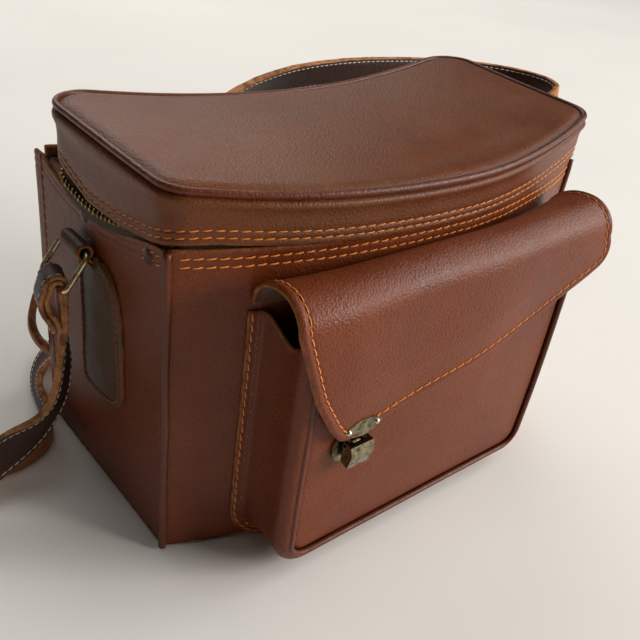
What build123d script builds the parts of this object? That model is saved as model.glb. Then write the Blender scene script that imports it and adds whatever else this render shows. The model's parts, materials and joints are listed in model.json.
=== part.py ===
from build123d import *
import math
import os

# Leather camera bag. Millimetres, +Z up, origin at the middle of the underside.
# X runs along the long side, the pocket faces -Y, the hinge of the lid is at +Y.
# The plan is kidney-shaped: the front bows out and the back bows in.

# ---- driving dimensions of the bag
FRONT_W = 285.0          # front corner to front corner
BACK_W = 295.0           # back corner to back corner
DEPTH = 130.0            # front corner to back corner
FRONT_BOW = 30.0         # how far the front wall bows out
BACK_BOW = 27.0          # how far the back wall bows in
FLANGE = 8.0             # raw edge of the end panels behind the back panel
BODY_TOP = 190.0
LEATHER = 2.2
BASE_BOARD = 2.5
LINING = 3.0
WELT_R = 2.2

# ---- lid
LID_OVERHANG = 1.5
LID_BOTTOM = 195.0       # at the two ends
LID_TOP = 221.5          # at the two ends
LID_DIP = 7.0            # the saddle: how much lower the middle of the lid is
LID_BACK_INSET = 5.0     # back corners of the lid stand inside those of the body
LID_CORNER_R = 16.0
LID_HEM_BACK = 191.6     # lower edge of the lid band along the hinge
BAND_SEAM_X = 126.0      # where the lengths of the lid band meet
HINGE_Y = DEPTH / 2 + 3.2
HINGE_Z = 193.5

# ---- zip
TAPE = 1.0
TAPE_OUT = LEATHER       # the tape hangs on the inner face of the leather
TOOTH_IN = 4.4
TOOTH_H = 1.5
ROW_GAP = 2.0            # free height between the two rows, which the slider's web rides in
BODY_ROW_Z = 191.5
LID_ROW_Z = BODY_ROW_Z + TOOTH_H + ROW_GAP
SLIDER_LEN = 10.0
SLIDER_Y = 31.0          # parked near the back corner of the right end
ZIP_BACK = 54.0          # where both rows end

# ---- pocket
POCKET_HALF = 102.0      # without its welt
POCKET_FRONT_Y = -118.5
POCKET_BOTTOM = 6.0
POCKET_TOP = 157.0
POCKET_CORNER_R = 15.0
POCKET_FLANGE = 5.0
POCKET_WELT = 2.4

# ---- flap
FLAP_T = 2.4
FLAP_TOP = 186.0
FLAP_AXIS_Y = -99.85
FLAP_AXIS_Z = FLAP_TOP + 0.3
FLAP_FACE_Y = -124.6     # outer face of its hanging part
FLAP_ROLL_R = 17.0
FLAP_LEFT = -108.0
FLAP_RIGHT = 104.0

# ---- clasp
CLASP_X = -66.0
CLASP_Z = 103.5
PLATE_T = 1.2
CATCH_Z = 95.2

# ---- chapes, rings and strap
CHAPE_T = 2.6
CHAPE_BACK = 18.0
CHAPE_FRONT = -24.0
CHAPE_BOTTOM = 68.0
CHAPE_TOP = 150.0
RING_OUT = 6.6           # height of the ring's axis above the end panel
RING_Z = 157.0
RING_Y = 12.0
ROLL_W = 20.4
RING_HALF = 13.8         # half of the ring's width, to the middle of the wire
RING_LEN = 22.0
WIRE_R = 1.5
RING_BEND = 3.2
LEFT_TILT = 37.0         # ring swung out from hanging straight down
RIGHT_TILT = 115.0
STRAP_W = 21.0
STRAP_T = 5.0
STRAP_TUBE_R = STRAP_T / 2
LOOP_R = 6.6
END_LEN = 34.0
TAIL_LEN = 27.0

END_SLOPE = (BACK_W - FRONT_W) / 2 / DEPTH
END_ANGLE = math.degrees(math.atan(END_SLOPE))
FRONT_R = ((FRONT_W / 2) ** 2 + FRONT_BOW ** 2) / (2 * FRONT_BOW)
BACK_R = ((BACK_W / 2) ** 2 + BACK_BOW ** 2) / (2 * BACK_BOW)
FRONT_CENTRE = -DEPTH / 2 - FRONT_BOW + FRONT_R
BACK_CENTRE = DEPTH / 2 - BACK_BOW + BACK_R
FAR = 400.0

os.makedirs("parts", exist_ok=True)


def front_y(x, out=0.0):
    """Front wall, moved outwards by out."""
    return FRONT_CENTRE - math.sqrt((FRONT_R + out) ** 2 - x * x)


def back_y(x, out=0.0):
    """Back wall, moved outwards by out."""
    return BACK_CENTRE - math.sqrt((BACK_R - out) ** 2 - x * x)


def end_x(y, out=0.0):
    """Right end wall, moved outwards by out."""
    return FRONT_W / 2 + END_SLOPE * (y + DEPTH / 2) + out / math.cos(math.atan(END_SLOPE))


def outline(out, front_radius=0.0, back_radius=0.0, back_inset=0.0):
    """The kidney plan, moved outwards by out, as a face at z = 0."""
    y_front = -DEPTH / 2
    y_back = DEPTH / 2 - back_inset
    for _ in range(20):
        y_front = front_y(end_x(y_front, out), out)
        y_back = back_y(end_x(y_back, out), out) - back_inset
    x_front = end_x(y_front, out)
    x_back = end_x(y_back, out)
    mid_front = (0, front_y(0, out))
    mid_back = (0, back_y(0, out))
    edges = [
        ThreePointArc((-x_front, y_front), mid_front, (x_front, y_front)),
        Line((x_front, y_front), (x_back, y_back)),
        ThreePointArc((x_back, y_back), mid_back, (-x_back, y_back)),
        Line((-x_back, y_back), (-x_front, y_front)),
    ]
    face = make_face(edges)
    if front_radius:
        face = fillet(face.vertices().sort_by(Axis.Y)[:2], front_radius)
    if back_radius:
        face = fillet(face.vertices().sort_by(Axis.Y)[-2:], back_radius)
    return face


def prism(face, z_low, z_high):
    return Pos(0, 0, z_low) * extrude(face, z_high - z_low)


def block(x_low, x_high, y_low, y_high, z_low, z_high):
    middle = Pos((x_low + x_high) / 2, (y_low + y_high) / 2, (z_low + z_high) / 2)
    return middle * Box(x_high - x_low, y_high - y_low, z_high - z_low)


def front_band(out_high, out_low):
    """Plan of a layer that follows the front wall, wider than the bag."""
    x = FRONT_W / 2 + 25
    return make_face([
        ThreePointArc((-x, front_y(x, out_high)), (0, front_y(0, out_high)), (x, front_y(x, out_high))),
        Line((x, front_y(x, out_high)), (x, front_y(x, out_low))),
        ThreePointArc((x, front_y(x, out_low)), (0, front_y(0, out_low)), (-x, front_y(x, out_low))),
        Line((-x, front_y(x, out_low)), (-x, front_y(x, out_high))),
    ])


def back_band(out_high, out_low):
    """Plan of a layer that follows the back wall, wider than the bag."""
    x = BACK_W / 2 + 25
    return make_face([
        ThreePointArc((-x, back_y(x, out_low)), (0, back_y(0, out_low)), (x, back_y(x, out_low))),
        Line((x, back_y(x, out_low)), (x, back_y(x, out_high))),
        ThreePointArc((x, back_y(x, out_high)), (0, back_y(0, out_high)), (-x, back_y(x, out_high))),
        Line((-x, back_y(x, out_high)), (-x, back_y(x, out_low))),
    ])


def end_strip(out_high, out_low, y_low, y_high):
    """Plan of a layer along the right end wall."""
    return make_face(Polyline(
        (end_x(y_low, out_low), y_low), (end_x(y_low, out_high), y_low),
        (end_x(y_high, out_high), y_high), (end_x(y_high, out_low), y_high), close=True))


def saddle_z(x, z_at_ends):
    return z_at_ends - LID_DIP * (1 - (x / (FRONT_W / 2)) ** 2)


def saddle(z_low, z_high):
    """Everything between two sagging sheets, which are level along Y."""
    x = FRONT_W / 2 + 15
    low = ThreePointArc((-x, saddle_z(x, z_low)), (0, saddle_z(0, z_low)), (x, saddle_z(x, z_low)))
    high = ThreePointArc((x, saddle_z(x, z_high)), (0, saddle_z(0, z_high)), (-x, saddle_z(x, z_high)))
    sides = [Line(low @ 1, high @ 0), Line(high @ 1, low @ 0)]
    face = Plane.XZ * make_face([low, high] + sides)
    return Pos(0, FAR / 2, 0) * extrude(face, FAR)


def on_right_end(y, z, out=0.0):
    """Frame on the right end wall: local X points out of it, local Y runs along it, Z is up."""
    return Pos(end_x(y, out), y, z) * Rot(0, 0, -END_ANGLE)


def dome(base_r, height):
    """Rivet head: a low cap on its base circle, rising along +X."""
    sphere_r = (base_r ** 2 + height ** 2) / (2 * height)
    mid = math.asin(base_r / sphere_r) / 2
    crown = (height - sphere_r + sphere_r * math.cos(mid), sphere_r * math.sin(mid))
    profile = make_face([
        Line((0, 0), (height, 0)), ThreePointArc((height, 0), crown, (0, base_r)), Line((0, base_r), (0, 0)),
    ])
    return revolve(profile, Axis.X)


def mirrored(shape):
    return mirror(shape, about=Plane.YZ)


def save(name, shape):
    solids = shape.solids()
    export_step(Compound(children=list(solids)) if len(solids) > 1 else solids[0], f"parts/{name}.step")


def save_pair(name, right_shape):
    save("right_" + name, right_shape)
    save("left_" + name, mirrored(right_shape))


# ---------------------------------------------------------------- body panels
def body_panels():
    whole = outline(0)
    front = front_band(0, -LEATHER) & whole
    save("front_panel", prism(front, LEATHER, BODY_TOP))
    back = back_band(0, -LEATHER) & outline(0)
    inner_ends = end_strip(20, -LEATHER, -FAR / 4, FAR / 4)
    back = back - inner_ends - mirrored(inner_ends)
    save("back_panel", prism(back, LEATHER, BODY_TOP))
    end = end_strip(0, -LEATHER, -DEPTH / 2 - 10, DEPTH / 2 + FLANGE)
    end = prism(end, LEATHER, BODY_TOP - 2) - prism(front_band(20, -LEATHER), 0, FAR)
    save_pair("end_panel", end)
    save("base_panel", prism(whole, 0, LEATHER))
    save("base_board", prism(outline(-LEATHER), LEATHER, LEATHER + BASE_BOARD))


def corner_welts():
    y = -DEPTH / 2
    bead = Pos(end_x(y), y, LEATHER) * Cylinder(
        WELT_R, BODY_TOP - LEATHER, align=(Align.CENTER, Align.CENTER, Align.MIN))
    bead = bead - prism(outline(0), 0, FAR)
    save_pair("corner_welt", bead)


FLOOR_Z = LEATHER + BASE_BOARD + LINING
LINING_TOP = 184.0
DIVIDER_X = 36.0
DIVIDER_T = 6.0


def linings():
    room = outline(-LEATHER)
    save("base_lining", prism(room, FLOOR_Z - LINING, FLOOR_Z))
    deep = -LEATHER - LINING
    front = front_band(-LEATHER + 1, deep) & room
    save("front_lining", prism(front, FLOOR_Z, LINING_TOP))
    back = back_band(-LEATHER + 1, deep) & outline(-LEATHER)
    save("back_lining", prism(back, FLOOR_Z, LINING_TOP))
    end = end_strip(-LEATHER, deep, -DEPTH / 2 - 10, DEPTH / 2 + 5)
    end = prism(end, FLOOR_Z, LINING_TOP)
    end = end - prism(front_band(20, deep), 0, FAR) - prism(back_band(20, deep), 0, FAR)
    save_pair("end_lining", end)
    wall = prism(outline(deep), FLOOR_Z, 150.0)
    save("divider", wall & block(DIVIDER_X - DIVIDER_T / 2, DIVIDER_X + DIVIDER_T / 2, -FAR / 2, FAR / 2, 0, FAR))


# ---------------------------------------------------------------- zip
def zip_ring(out_high, out_low):
    """Plan of a band that runs along the two ends and the front."""
    ring = lid_outline(out_high) - lid_outline(out_low)
    return ring - make_face(Polyline(
        (-130, 0), (130, 0), (130, ZIP_BACK), (FAR, ZIP_BACK), (FAR, FAR), (-FAR, FAR),
        (-FAR, ZIP_BACK), (-130, ZIP_BACK), close=True))


def zips():
    tape = zip_ring(-TAPE_OUT, -TAPE_OUT - TAPE)
    row = zip_ring(-TAPE_OUT, -TOOTH_IN)
    save("body_zip_tape", prism(tape, LINING_TOP + 0.5, BODY_ROW_Z))
    save("body_zip_teeth", prism(row, BODY_ROW_Z, BODY_ROW_Z + TOOTH_H))
    save("lid_zip_tape", prism(tape, LID_ROW_Z + TOOTH_H, 205.5))
    save("lid_zip_teeth", prism(row, LID_ROW_Z, LID_ROW_Z + TOOTH_H))


PULL_OUT = 2.6           # axis of the pull tab, out from the end panel, clear of the rivets
PULL_Z = 192.4
PULL_PIN_R = 0.7
PULL_W = 6.0
PULL_LEN = 24.0


def slider():
    place = on_right_end(SLIDER_Y, 0)
    half = SLIDER_LEN / 2
    plate_low, plate_high = BODY_ROW_Z - 1.0, LID_ROW_Z + TOOTH_H + 0.8
    outer = block(-TAPE_OUT + 0.5, -TAPE_OUT + 1.4, -half, half, plate_low, plate_high)
    inner = block(-TOOTH_IN - 1.2, -TOOTH_IN - 0.3, -half, half, plate_low, plate_high)
    web_low = BODY_ROW_Z + TOOTH_H + 0.3
    web = block(-TOOTH_IN - 0.4, -TAPE_OUT + 0.6, -half + 1, half - 2, web_low, web_low + ROW_GAP - 0.6)
    pin = Pos(PULL_OUT, 0, PULL_Z) * Rot(90, 0, 0) * Cylinder(PULL_PIN_R, PULL_W + 2.4)
    body = outer + inner + web + pin
    for side in (-1, 1):
        y = side * (PULL_W / 2 + 0.8)
        body += block(-TAPE_OUT + 1.0, PULL_OUT + 0.6, y - 0.4, y + 0.4, PULL_Z - 0.7, PULL_Z + 0.7)
    save("zip_slider", place * body)
    hub = Rot(90, 0, 0) * Cylinder(1.8, PULL_W)
    tab = block(-0.6, 0.6, -PULL_W / 2, PULL_W / 2, -PULL_LEN, -1)
    tab = hub + tab - Rot(90, 0, 0) * Cylinder(PULL_PIN_R + 0.15, PULL_W + 2)
    tab = tab - block(-2, 2, -1.6, 1.6, -PULL_LEN + 3, -PULL_LEN + 9)
    save("zip_pull", place * Pos(PULL_OUT, 0, PULL_Z) * tab)


# ---------------------------------------------------------------- lid
LID_CORE = 0.3           # inner face of the lid's leather, outside the body's face


def lid_outline(out):
    return outline(out, LID_CORNER_R + out - LID_OVERHANG, LID_CORNER_R + 2 + out, LID_BACK_INSET)


def lid():
    outer = lid_outline(LID_OVERHANG)
    leather_in = lid_outline(LID_OVERHANG - LEATHER + 1.0)
    skin = prism(outer, LID_BOTTOM - LID_DIP - 5, LID_TOP + 10)
    cavity = prism(leather_in, LID_BOTTOM - LID_DIP - 10, LID_TOP + 20)
    hem = block(-FAR, FAR, 0, FAR, 0, LID_HEM_BACK)
    band = (skin - cavity) & saddle(LID_BOTTOM, LID_TOP - LEATHER) - hem
    end_side = block(BAND_SEAM_X, FAR, -FAR, FAR, 0, FAR)
    long_side = block(-BAND_SEAM_X, BAND_SEAM_X, 0, FAR, 0, FAR)
    save_pair("lid_band", band & end_side)
    save("back_lid_band", band & long_side)
    save("front_lid_band", band & mirror(long_side, about=Plane.XZ))
    save("lid_top_panel", skin & saddle(LID_TOP - LEATHER, LID_TOP))
    save("lid_board", cavity & saddle(LID_TOP - LEATHER - 2.0, LID_TOP - LEATHER))
    bead = prism(lid_outline(LID_OVERHANG + 1.2), 0, FAR) - prism(outer, -1, FAR + 1)
    save("lid_welt", bead & saddle(LID_TOP - 3.0, LID_TOP - 0.6))
    stiff_in = lid_outline(-TAPE_OUT)
    stiff = cavity - prism(stiff_in, 0, FAR)
    roof_z = LID_TOP - LEATHER - 2.0
    save("lid_band_board", stiff & saddle(200.0, roof_z))
    save("lid_lining", prism(stiff_in, 150, FAR) & saddle(roof_z - LINING, roof_z))


def hinge_strip():
    x = BACK_W / 2 - 12
    plan = back_band(1.2, 0) & make_face(Polyline((-x, 0), (x, 0), (x, FAR), (-x, FAR), close=True))
    save("back_hinge_strip", prism(plan, 166.0, LID_HEM_BACK - 0.3))


# ---------------------------------------------------------------- pocket
def pocket_u(out, top):
    """Upright U outline of the pocket, moved outwards by out, as a prism through all Y."""
    low = max(POCKET_BOTTOM - out, 0.6)
    shape = Pos(0, (low + top) / 2) * Rectangle(2 * (POCKET_HALF + out), top - low)
    shape = fillet(shape.vertices().sort_by(Axis.Y)[:2], POCKET_CORNER_R + out)
    return Pos(0, 0, 0) * extrude(Plane.XZ * shape, FAR, both=True)


def pocket():
    outside = prism(outline(0), -1, FAR)
    front_of_face = block(-FAR, FAR, -FAR, POCKET_FRONT_Y, -10, FAR)
    behind_face = block(-FAR, FAR, POCKET_FRONT_Y + LEATHER, FAR, -10, FAR)
    core = pocket_u(-LEATHER, FAR)
    tube = (pocket_u(0, POCKET_TOP) - core) & block(-FAR, FAR, -FAR, -60, -10, FAR)
    walls = tube - outside - front_of_face & behind_face
    near_wall = prism(front_band(LEATHER, 0), 1.0, POCKET_TOP)
    flange = (pocket_u(POCKET_FLANGE, POCKET_TOP) - pocket_u(-LEATHER, FAR)) & near_wall
    save("pocket_gusset", walls + flange)
    slab = block(-FAR, FAR, POCKET_FRONT_Y, POCKET_FRONT_Y + LEATHER, -10, FAR)
    save("pocket_front_panel", pocket_u(0, POCKET_TOP) & slab)
    rim = pocket_u(POCKET_WELT, POCKET_TOP) - pocket_u(0, FAR)
    bead = block(-FAR, FAR, POCKET_FRONT_Y - 0.6, POCKET_FRONT_Y + 3.4, -10, FAR)
    save("pocket_welt", rim & bead)


# ---------------------------------------------------------------- flap
def flap_outline():
    """Front view of the flap: steep left edge, low tip by the clasp, long rising lower edge."""
    points = [
        (FLAP_LEFT, FAR / 2), (FLAP_LEFT - 2, 166), (-86, 108), (-74, 97),
        (-19, 107), (56, 126), (112, 148), (118, 163), (FLAP_RIGHT + 3, 180), (FLAP_RIGHT, FAR / 2),
    ]
    face = make_face(Polyline(*points, close=True))
    soft = [v for v in face.vertices() if -90 < v.X < -73 or 111 < v.X < 119]
    face = fillet(soft, 5.0)
    return extrude(Plane.XZ * face, FAR, both=True)


def flap():
    """Side section: a level root, a rolled shoulder and a hanging face, all one leather."""
    def path(inset):
        r = FLAP_ROLL_R - inset
        top = FLAP_TOP - inset
        face = FLAP_FACE_Y + inset
        knee = FLAP_TOP - FLAP_ROLL_R
        mid = r * (1 - math.sqrt(0.5))
        shoulder = ThreePointArc((face + r, top), (face + mid, top - mid), (face, knee))
        return (FLAP_AXIS_Y - 0.15, top), shoulder, (face, 80.0)
    root_out, arc_out, foot_out = path(0)
    root_in, arc_in, foot_in = path(FLAP_T)
    section = make_face([
        Line(root_out, arc_out @ 0), arc_out, Line(arc_out @ 1, foot_out), Line(foot_out, foot_in),
        Line(foot_in, arc_in @ 1), arc_in, Line(arc_in @ 0, root_in), Line(root_in, root_out),
    ])
    sheet = extrude(Plane.YZ * section, FAR, both=True)
    save("pocket_flap", sheet & flap_outline())
    shelf = make_face(Polyline(
        (FLAP_LEFT, FLAP_AXIS_Y + 0.15), (FLAP_RIGHT, FLAP_AXIS_Y + 0.15),
        (FLAP_RIGHT, -60), (FLAP_LEFT, -60), close=True))
    save("flap_root", prism(shelf, FLAP_TOP - FLAP_T, FLAP_TOP) - prism(outline(0), 0, FAR))


# ---------------------------------------------------------------- clasp
RIVET_REACH = 9.2        # clasp rivets, each side of the middle of the plate
CATCH_W = 15.0
CATCH_PIN_Y = FLAP_FACE_Y + 1.6


def clasp():
    half_w, half_h = 12.5, 5.5
    lens = make_face([
        ThreePointArc((-half_w, 0), (0, half_h), (half_w, 0)),
        ThreePointArc((half_w, 0), (0, -half_h), (-half_w, 0)),
    ])
    plate = extrude(Plane.XZ * lens, PLATE_T)
    rivets = []
    for side in (-1, 1):
        at = Pos(CLASP_X + side * RIVET_REACH, FLAP_FACE_Y - PLATE_T, CLASP_Z)
        rivets.append(at * Rot(0, 0, -90) * dome(1.6, 1.2))
    save("clasp_plate", Pos(CLASP_X, FLAP_FACE_Y, CLASP_Z) * plate)
    save("clasp_rivets", Compound(children=rivets))


def lock():
    base = Rot(90, 0, 0) * extrude(Ellipse(8.5, 10.0), 1.4)
    base = Pos(CLASP_X - 4, POCKET_FRONT_Y, CATCH_Z - 7) * base
    save("lock_base_plate", base)
    y_back = POCKET_FRONT_Y - 1.4
    pin_z = CATCH_Z - 3.2
    yoke = block(CLASP_X - 5, CLASP_X + 5, CATCH_PIN_Y + 2.0, y_back, CATCH_Z - 14, CATCH_Z - 0.5)
    pin = Pos(CLASP_X, CATCH_PIN_Y, pin_z) * Rot(0, 90, 0) * Cylinder(0.9, CATCH_W - 5)
    cheek = block(-1, 1, CATCH_PIN_Y - 1.3, CATCH_PIN_Y + 2.1, pin_z - 1.5, pin_z + 1.5)
    cheeks = Pos(CLASP_X - 4, 0, 0) * cheek + Pos(CLASP_X + 4, 0, 0) * cheek
    save("lock_body", yoke + pin + cheeks)
    return pin_z


def catch(pin_z):
    """Thumb catch: a wedge that swings on the lock body's pin."""
    y = CATCH_PIN_Y
    wedge = make_face(Polyline(
        (y + 1.4, pin_z + 1.9), (y - 4.6, pin_z + 1.9), (y - 6.2, pin_z - 3.0),
        (y - 4.2, pin_z - 12.5), (y + 1.4, pin_z - 11.0), close=True))
    body = Pos(CLASP_X, 0, 0) * extrude(Plane.YZ * wedge, CATCH_W / 2, both=True)
    bore = Pos(CLASP_X, y, pin_z) * Rot(0, 90, 0) * Cylinder(1.15, 40)
    room = block(CLASP_X - 5.4, CLASP_X + 5.4, y - 2.1, y + 3, pin_z - 3.2, pin_z + 3)
    save("lock_catch", body - bore - room)


# ---------------------------------------------------------------- chapes and rings
def chape():
    """Leather tab sewn on the end panel, with the roll at its top that holds the ring."""
    tab = make_face(Polyline(
        (CHAPE_FRONT, CHAPE_BOTTOM + 4), (CHAPE_BACK, CHAPE_BOTTOM - 4),
        (CHAPE_BACK, CHAPE_TOP), (RING_Y - ROLL_W / 2, CHAPE_TOP), (CHAPE_FRONT + 3, CHAPE_TOP - 6), close=True))
    tab = fillet(tab.vertices().sort_by(Axis.X)[:3], 6.0)
    sheet = extrude(Plane.YZ * tab, CHAPE_T)
    roll_r = RING_OUT - 0.05
    roll = Pos(RING_OUT, RING_Y, RING_Z) * Rot(90, 0, 0) * Cylinder(roll_r - 2.2, ROLL_W)
    neck = block(0, CHAPE_T, RING_Y - ROLL_W / 2, RING_Y + ROLL_W / 2, CHAPE_TOP - 1, RING_Z)
    bore = Pos(RING_OUT, RING_Y, RING_Z) * Rot(90, 0, 0) * Cylinder(WIRE_R + 0.25, 60)
    frame = Pos(end_x(0), 0, 0) * Rot(0, 0, -END_ANGLE)
    save_pair("chape", frame * (sheet + neck + roll - bore))


RIVETS = ((-48.0, 179.0), (15.0, 171.0))


def rivet_group():
    rivets = [on_right_end(y, z) * dome(4.3, 1.5) for y, z in RIVETS]
    pair = rivets + [mirrored(r) for r in rivets]
    save("end_rivets", Compound(children=pair))


def ring_frame(tilt):
    """Right-hand ring frame: origin on the ring's axis, local -Z runs down the ring."""
    base = Pos(end_x(0), 0, 0) * Rot(0, 0, -END_ANGLE) * Pos(RING_OUT, RING_Y, RING_Z)
    return base * Rot(0, -tilt, 0)


def ring_wire():
    loop = FilletPolyline(
        (0, RING_HALF, 0), (0, RING_HALF, -RING_LEN), (0, -RING_HALF, -RING_LEN), (0, -RING_HALF, 0),
        radius=RING_BEND, close=True)
    section = Plane(origin=loop @ 0, z_dir=loop % 0) * Circle(WIRE_R)
    return sweep(section, path=loop)


def strap_end(turn):
    """End of the strap folded round the ring's outer bar: its leg lies next to the bag."""
    core = Rot(90, 0, 0) * Cylinder(LOOP_R, STRAP_W)
    leg = block(-LOOP_R + 1.0, -LOOP_R + 1.0 + STRAP_T, -STRAP_W / 2, STRAP_W / 2, -END_LEN, 0)
    tail = block(LOOP_R - 1.0 - STRAP_T, LOOP_R - 1.0, -STRAP_W / 2, STRAP_W / 2, -TAIL_LEN, 0)
    joined = block(-1, 1, -STRAP_W / 2, STRAP_W / 2, -TAIL_LEN + 9, 0)
    bore = Rot(90, 0, 0) * Cylinder(WIRE_R, STRAP_W + 2)
    body = core + leg + tail + joined - bore
    return Pos(0, 0, -RING_LEN) * Rot(0, turn, 0) * body


def rings():
    """The right ring is drawn up and out by the strap; from the left one the strap hangs down."""
    right = ring_frame(RIGHT_TILT)
    save("right_ring", right * ring_wire())
    save("right_strap_end", right * strap_end(0))
    left = ring_frame(LEFT_TILT)
    save("left_ring", mirrored(left * ring_wire()))
    save("left_strap_end", mirrored(left * strap_end(LEFT_TILT)))


# ---------------------------------------------------------------- strap
STRAP_ROUTE = [
    (-162.0, 12.0, 103.0), (-163.0, 9.0, 80.0), (-172.0, 10.0, 54.0), (-198.0, 17.0, 30.0),
    (-238.0, 12.0, 15.0), (-282.0, 8.0, 11.5), (-312.0, 24.0, 11.5), (-320.0, 56.0, 11.5),
    (-298.0, 80.0, 11.5), (-262.0, 74.0, 11.5), (-228.0, 44.0, 11.5), (-192.0, 30.0, 11.0),
    (-168.0, 38.0, 11.0), (-157.5, 54.0, 11.0), (-156.5, 76.0, 11.0), (-146.0, 106.0, 11.0),
    (-114.0, 132.0, 11.0), (-78.0, 136.0, 11.0), (-48.0, 120.0, 11.0), (-40.0, 94.0, 11.0),
    (-58.0, 74.0, 11.0), (-90.0, 74.0, 14.0), (-122.0, 82.0, 22.0), (-145.0, 88.0, 38.0),
    (-154.0, 90.0, 62.0), (-144.0, 91.0, 88.0), (-120.0, 95.0, 114.0), (-86.0, 102.0, 143.0),
    (-42.0, 112.0, 169.0), (8.0, 119.0, 185.0), (58.0, 122.0, 190.0), (108.0, 121.0, 191.0),
    (152.0, 113.0, 190.5), (196.0, 100.0, 190.0), (230.0, 78.0, 190.0), (246.0, 50.0, 190.5),
    (243.0, 24.0, 191.0), (225.0, 11.0, 187.5), (205.3, 12.0, 179.0),
]


def fillet_radii(points):
    radii = []
    for a, b, c in zip(points, points[1:], points[2:]):
        first, second = Vector(*b) - Vector(*a), Vector(*c) - Vector(*b)
        turn = math.radians(first.get_angle(second))
        radii.append(0.45 * min(first.length, second.length) / math.tan(turn / 2))
    return radii


def strap():
    radii = fillet_radii(STRAP_ROUTE)
    path = FilletPolyline(*STRAP_ROUTE, radius=radii)
    start = Plane(origin=path @ 0, z_dir=path % 0)
    tube = sweep(start * Circle(STRAP_TUBE_R), path=path)
    runs = [(Vector(*b) - Vector(*a)).length for a, b in zip(STRAP_ROUTE, STRAP_ROUTE[1:])]
    print("strap radii", [round(r) for r in radii])
    print("strap runs", [round(r) for r in runs])
    print("strap length", round(path.length), "volume ratio",
          round(tube.volume / (math.pi * STRAP_TUBE_R ** 2 * path.length), 4))
    save("shoulder_strap", tube)


body_panels()
corner_welts()
linings()
zips()
slider()
lid()
hinge_strip()
pocket()
flap()
clasp()
catch(lock())
chape()
rivet_group()
rings()
strap()
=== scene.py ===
import json
import math
import random

import bmesh
import bpy
import numpy as np
from mathutils import Matrix, Vector, noise

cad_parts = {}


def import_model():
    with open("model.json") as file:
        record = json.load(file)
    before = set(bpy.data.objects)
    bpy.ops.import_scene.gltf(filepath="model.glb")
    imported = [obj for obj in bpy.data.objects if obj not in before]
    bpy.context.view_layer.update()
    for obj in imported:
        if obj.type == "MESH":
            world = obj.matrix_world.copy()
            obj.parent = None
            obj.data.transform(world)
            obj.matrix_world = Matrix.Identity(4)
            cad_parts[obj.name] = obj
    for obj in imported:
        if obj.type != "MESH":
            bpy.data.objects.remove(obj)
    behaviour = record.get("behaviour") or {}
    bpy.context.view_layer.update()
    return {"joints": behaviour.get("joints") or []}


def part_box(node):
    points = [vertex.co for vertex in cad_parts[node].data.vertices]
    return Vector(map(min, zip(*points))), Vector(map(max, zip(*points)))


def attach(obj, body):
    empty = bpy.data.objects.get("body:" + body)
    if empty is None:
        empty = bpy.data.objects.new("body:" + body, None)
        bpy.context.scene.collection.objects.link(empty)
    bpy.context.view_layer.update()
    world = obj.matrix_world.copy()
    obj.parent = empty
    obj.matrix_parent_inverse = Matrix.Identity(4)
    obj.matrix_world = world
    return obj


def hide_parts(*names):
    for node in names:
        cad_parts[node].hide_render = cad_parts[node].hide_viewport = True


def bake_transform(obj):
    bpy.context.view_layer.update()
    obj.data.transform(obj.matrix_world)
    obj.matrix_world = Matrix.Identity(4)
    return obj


# Looks of the leather camera bag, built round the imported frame. Metres, +Z up.
# X runs along the long side, the pocket faces -Y, and the lid is hinged at +Y.
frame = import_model()
JOINT_PLACE = {joint["name"]: joint.get("pos_m") for joint in frame["joints"]}
MM = 0.001

# ---------------------------------------------------------------- sizes, from the frame
base_low, base_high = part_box("base_panel")
FRONT_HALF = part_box("front_panel")[1].x
BODY_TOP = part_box("front_panel")[1].z
BACK_HALF = base_high.x
CORNER_Y = base_high.y
FRONT_MID_Y = base_low.y
LEATHER = base_high.z
BACK_MID_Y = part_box("back_panel")[0].y + LEATHER
END_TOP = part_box("left_end_panel")[1].z
FLANGE_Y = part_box("left_end_panel")[1].y
FRONT_BOW = -CORNER_Y - FRONT_MID_Y
BACK_BOW = CORNER_Y - BACK_MID_Y
FRONT_R = (FRONT_HALF ** 2 + FRONT_BOW ** 2) / (2 * FRONT_BOW)
BACK_R = (BACK_HALF ** 2 + BACK_BOW ** 2) / (2 * BACK_BOW)
FRONT_CENTRE = FRONT_MID_Y + FRONT_R
BACK_CENTRE = BACK_MID_Y + BACK_R
END_SLOPE = (BACK_HALF - FRONT_HALF) / (2 * CORNER_Y)
END_ANGLE = math.atan(END_SLOPE)

LID_DIP = 7 * MM
lid_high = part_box("lid_top_panel")[1]
LID_TOP = lid_high.z - LID_DIP * ((lid_high.x / FRONT_HALF) ** 2 - 1)
LID_BOTTOM = LID_TOP - 26.5 * MM
LID_FRONT_R = 14.5 * MM
LID_BACK_R = 18 * MM
LID_BACK_INSET = 5 * MM
LID_BACK_CORNER = 142 * MM

ZIP_BODY_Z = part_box("body_zip_teeth")[0].z
ZIP_LID_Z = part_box("lid_zip_teeth")[1].z

pocket_low, pocket_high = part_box("pocket_front_panel")
POCKET_HALF = pocket_high.x
POCKET_FRONT_Y = pocket_low.y
POCKET_TOP = pocket_high.z
POCKET_BOTTOM = pocket_low.z
POCKET_CORNER_R = 20 * MM

flap_low, flap_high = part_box("pocket_flap")
FLAP_TOP = flap_high.z
FLAP_FACE_Y = flap_low.y
FLAP_ROLL_R = 17 * MM


# ---------------------------------------------------------------- plan of the bag
def front_y(x, out=0.0):
    return FRONT_CENTRE - np.sqrt((FRONT_R + out) ** 2 - x * x)


def back_y(x, out=0.0):
    return BACK_CENTRE - np.sqrt((BACK_R - out) ** 2 - x * x)


def end_x(y, out=0.0):
    return FRONT_HALF + END_SLOPE * (y + CORNER_Y) + out / math.cos(END_ANGLE)


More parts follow.
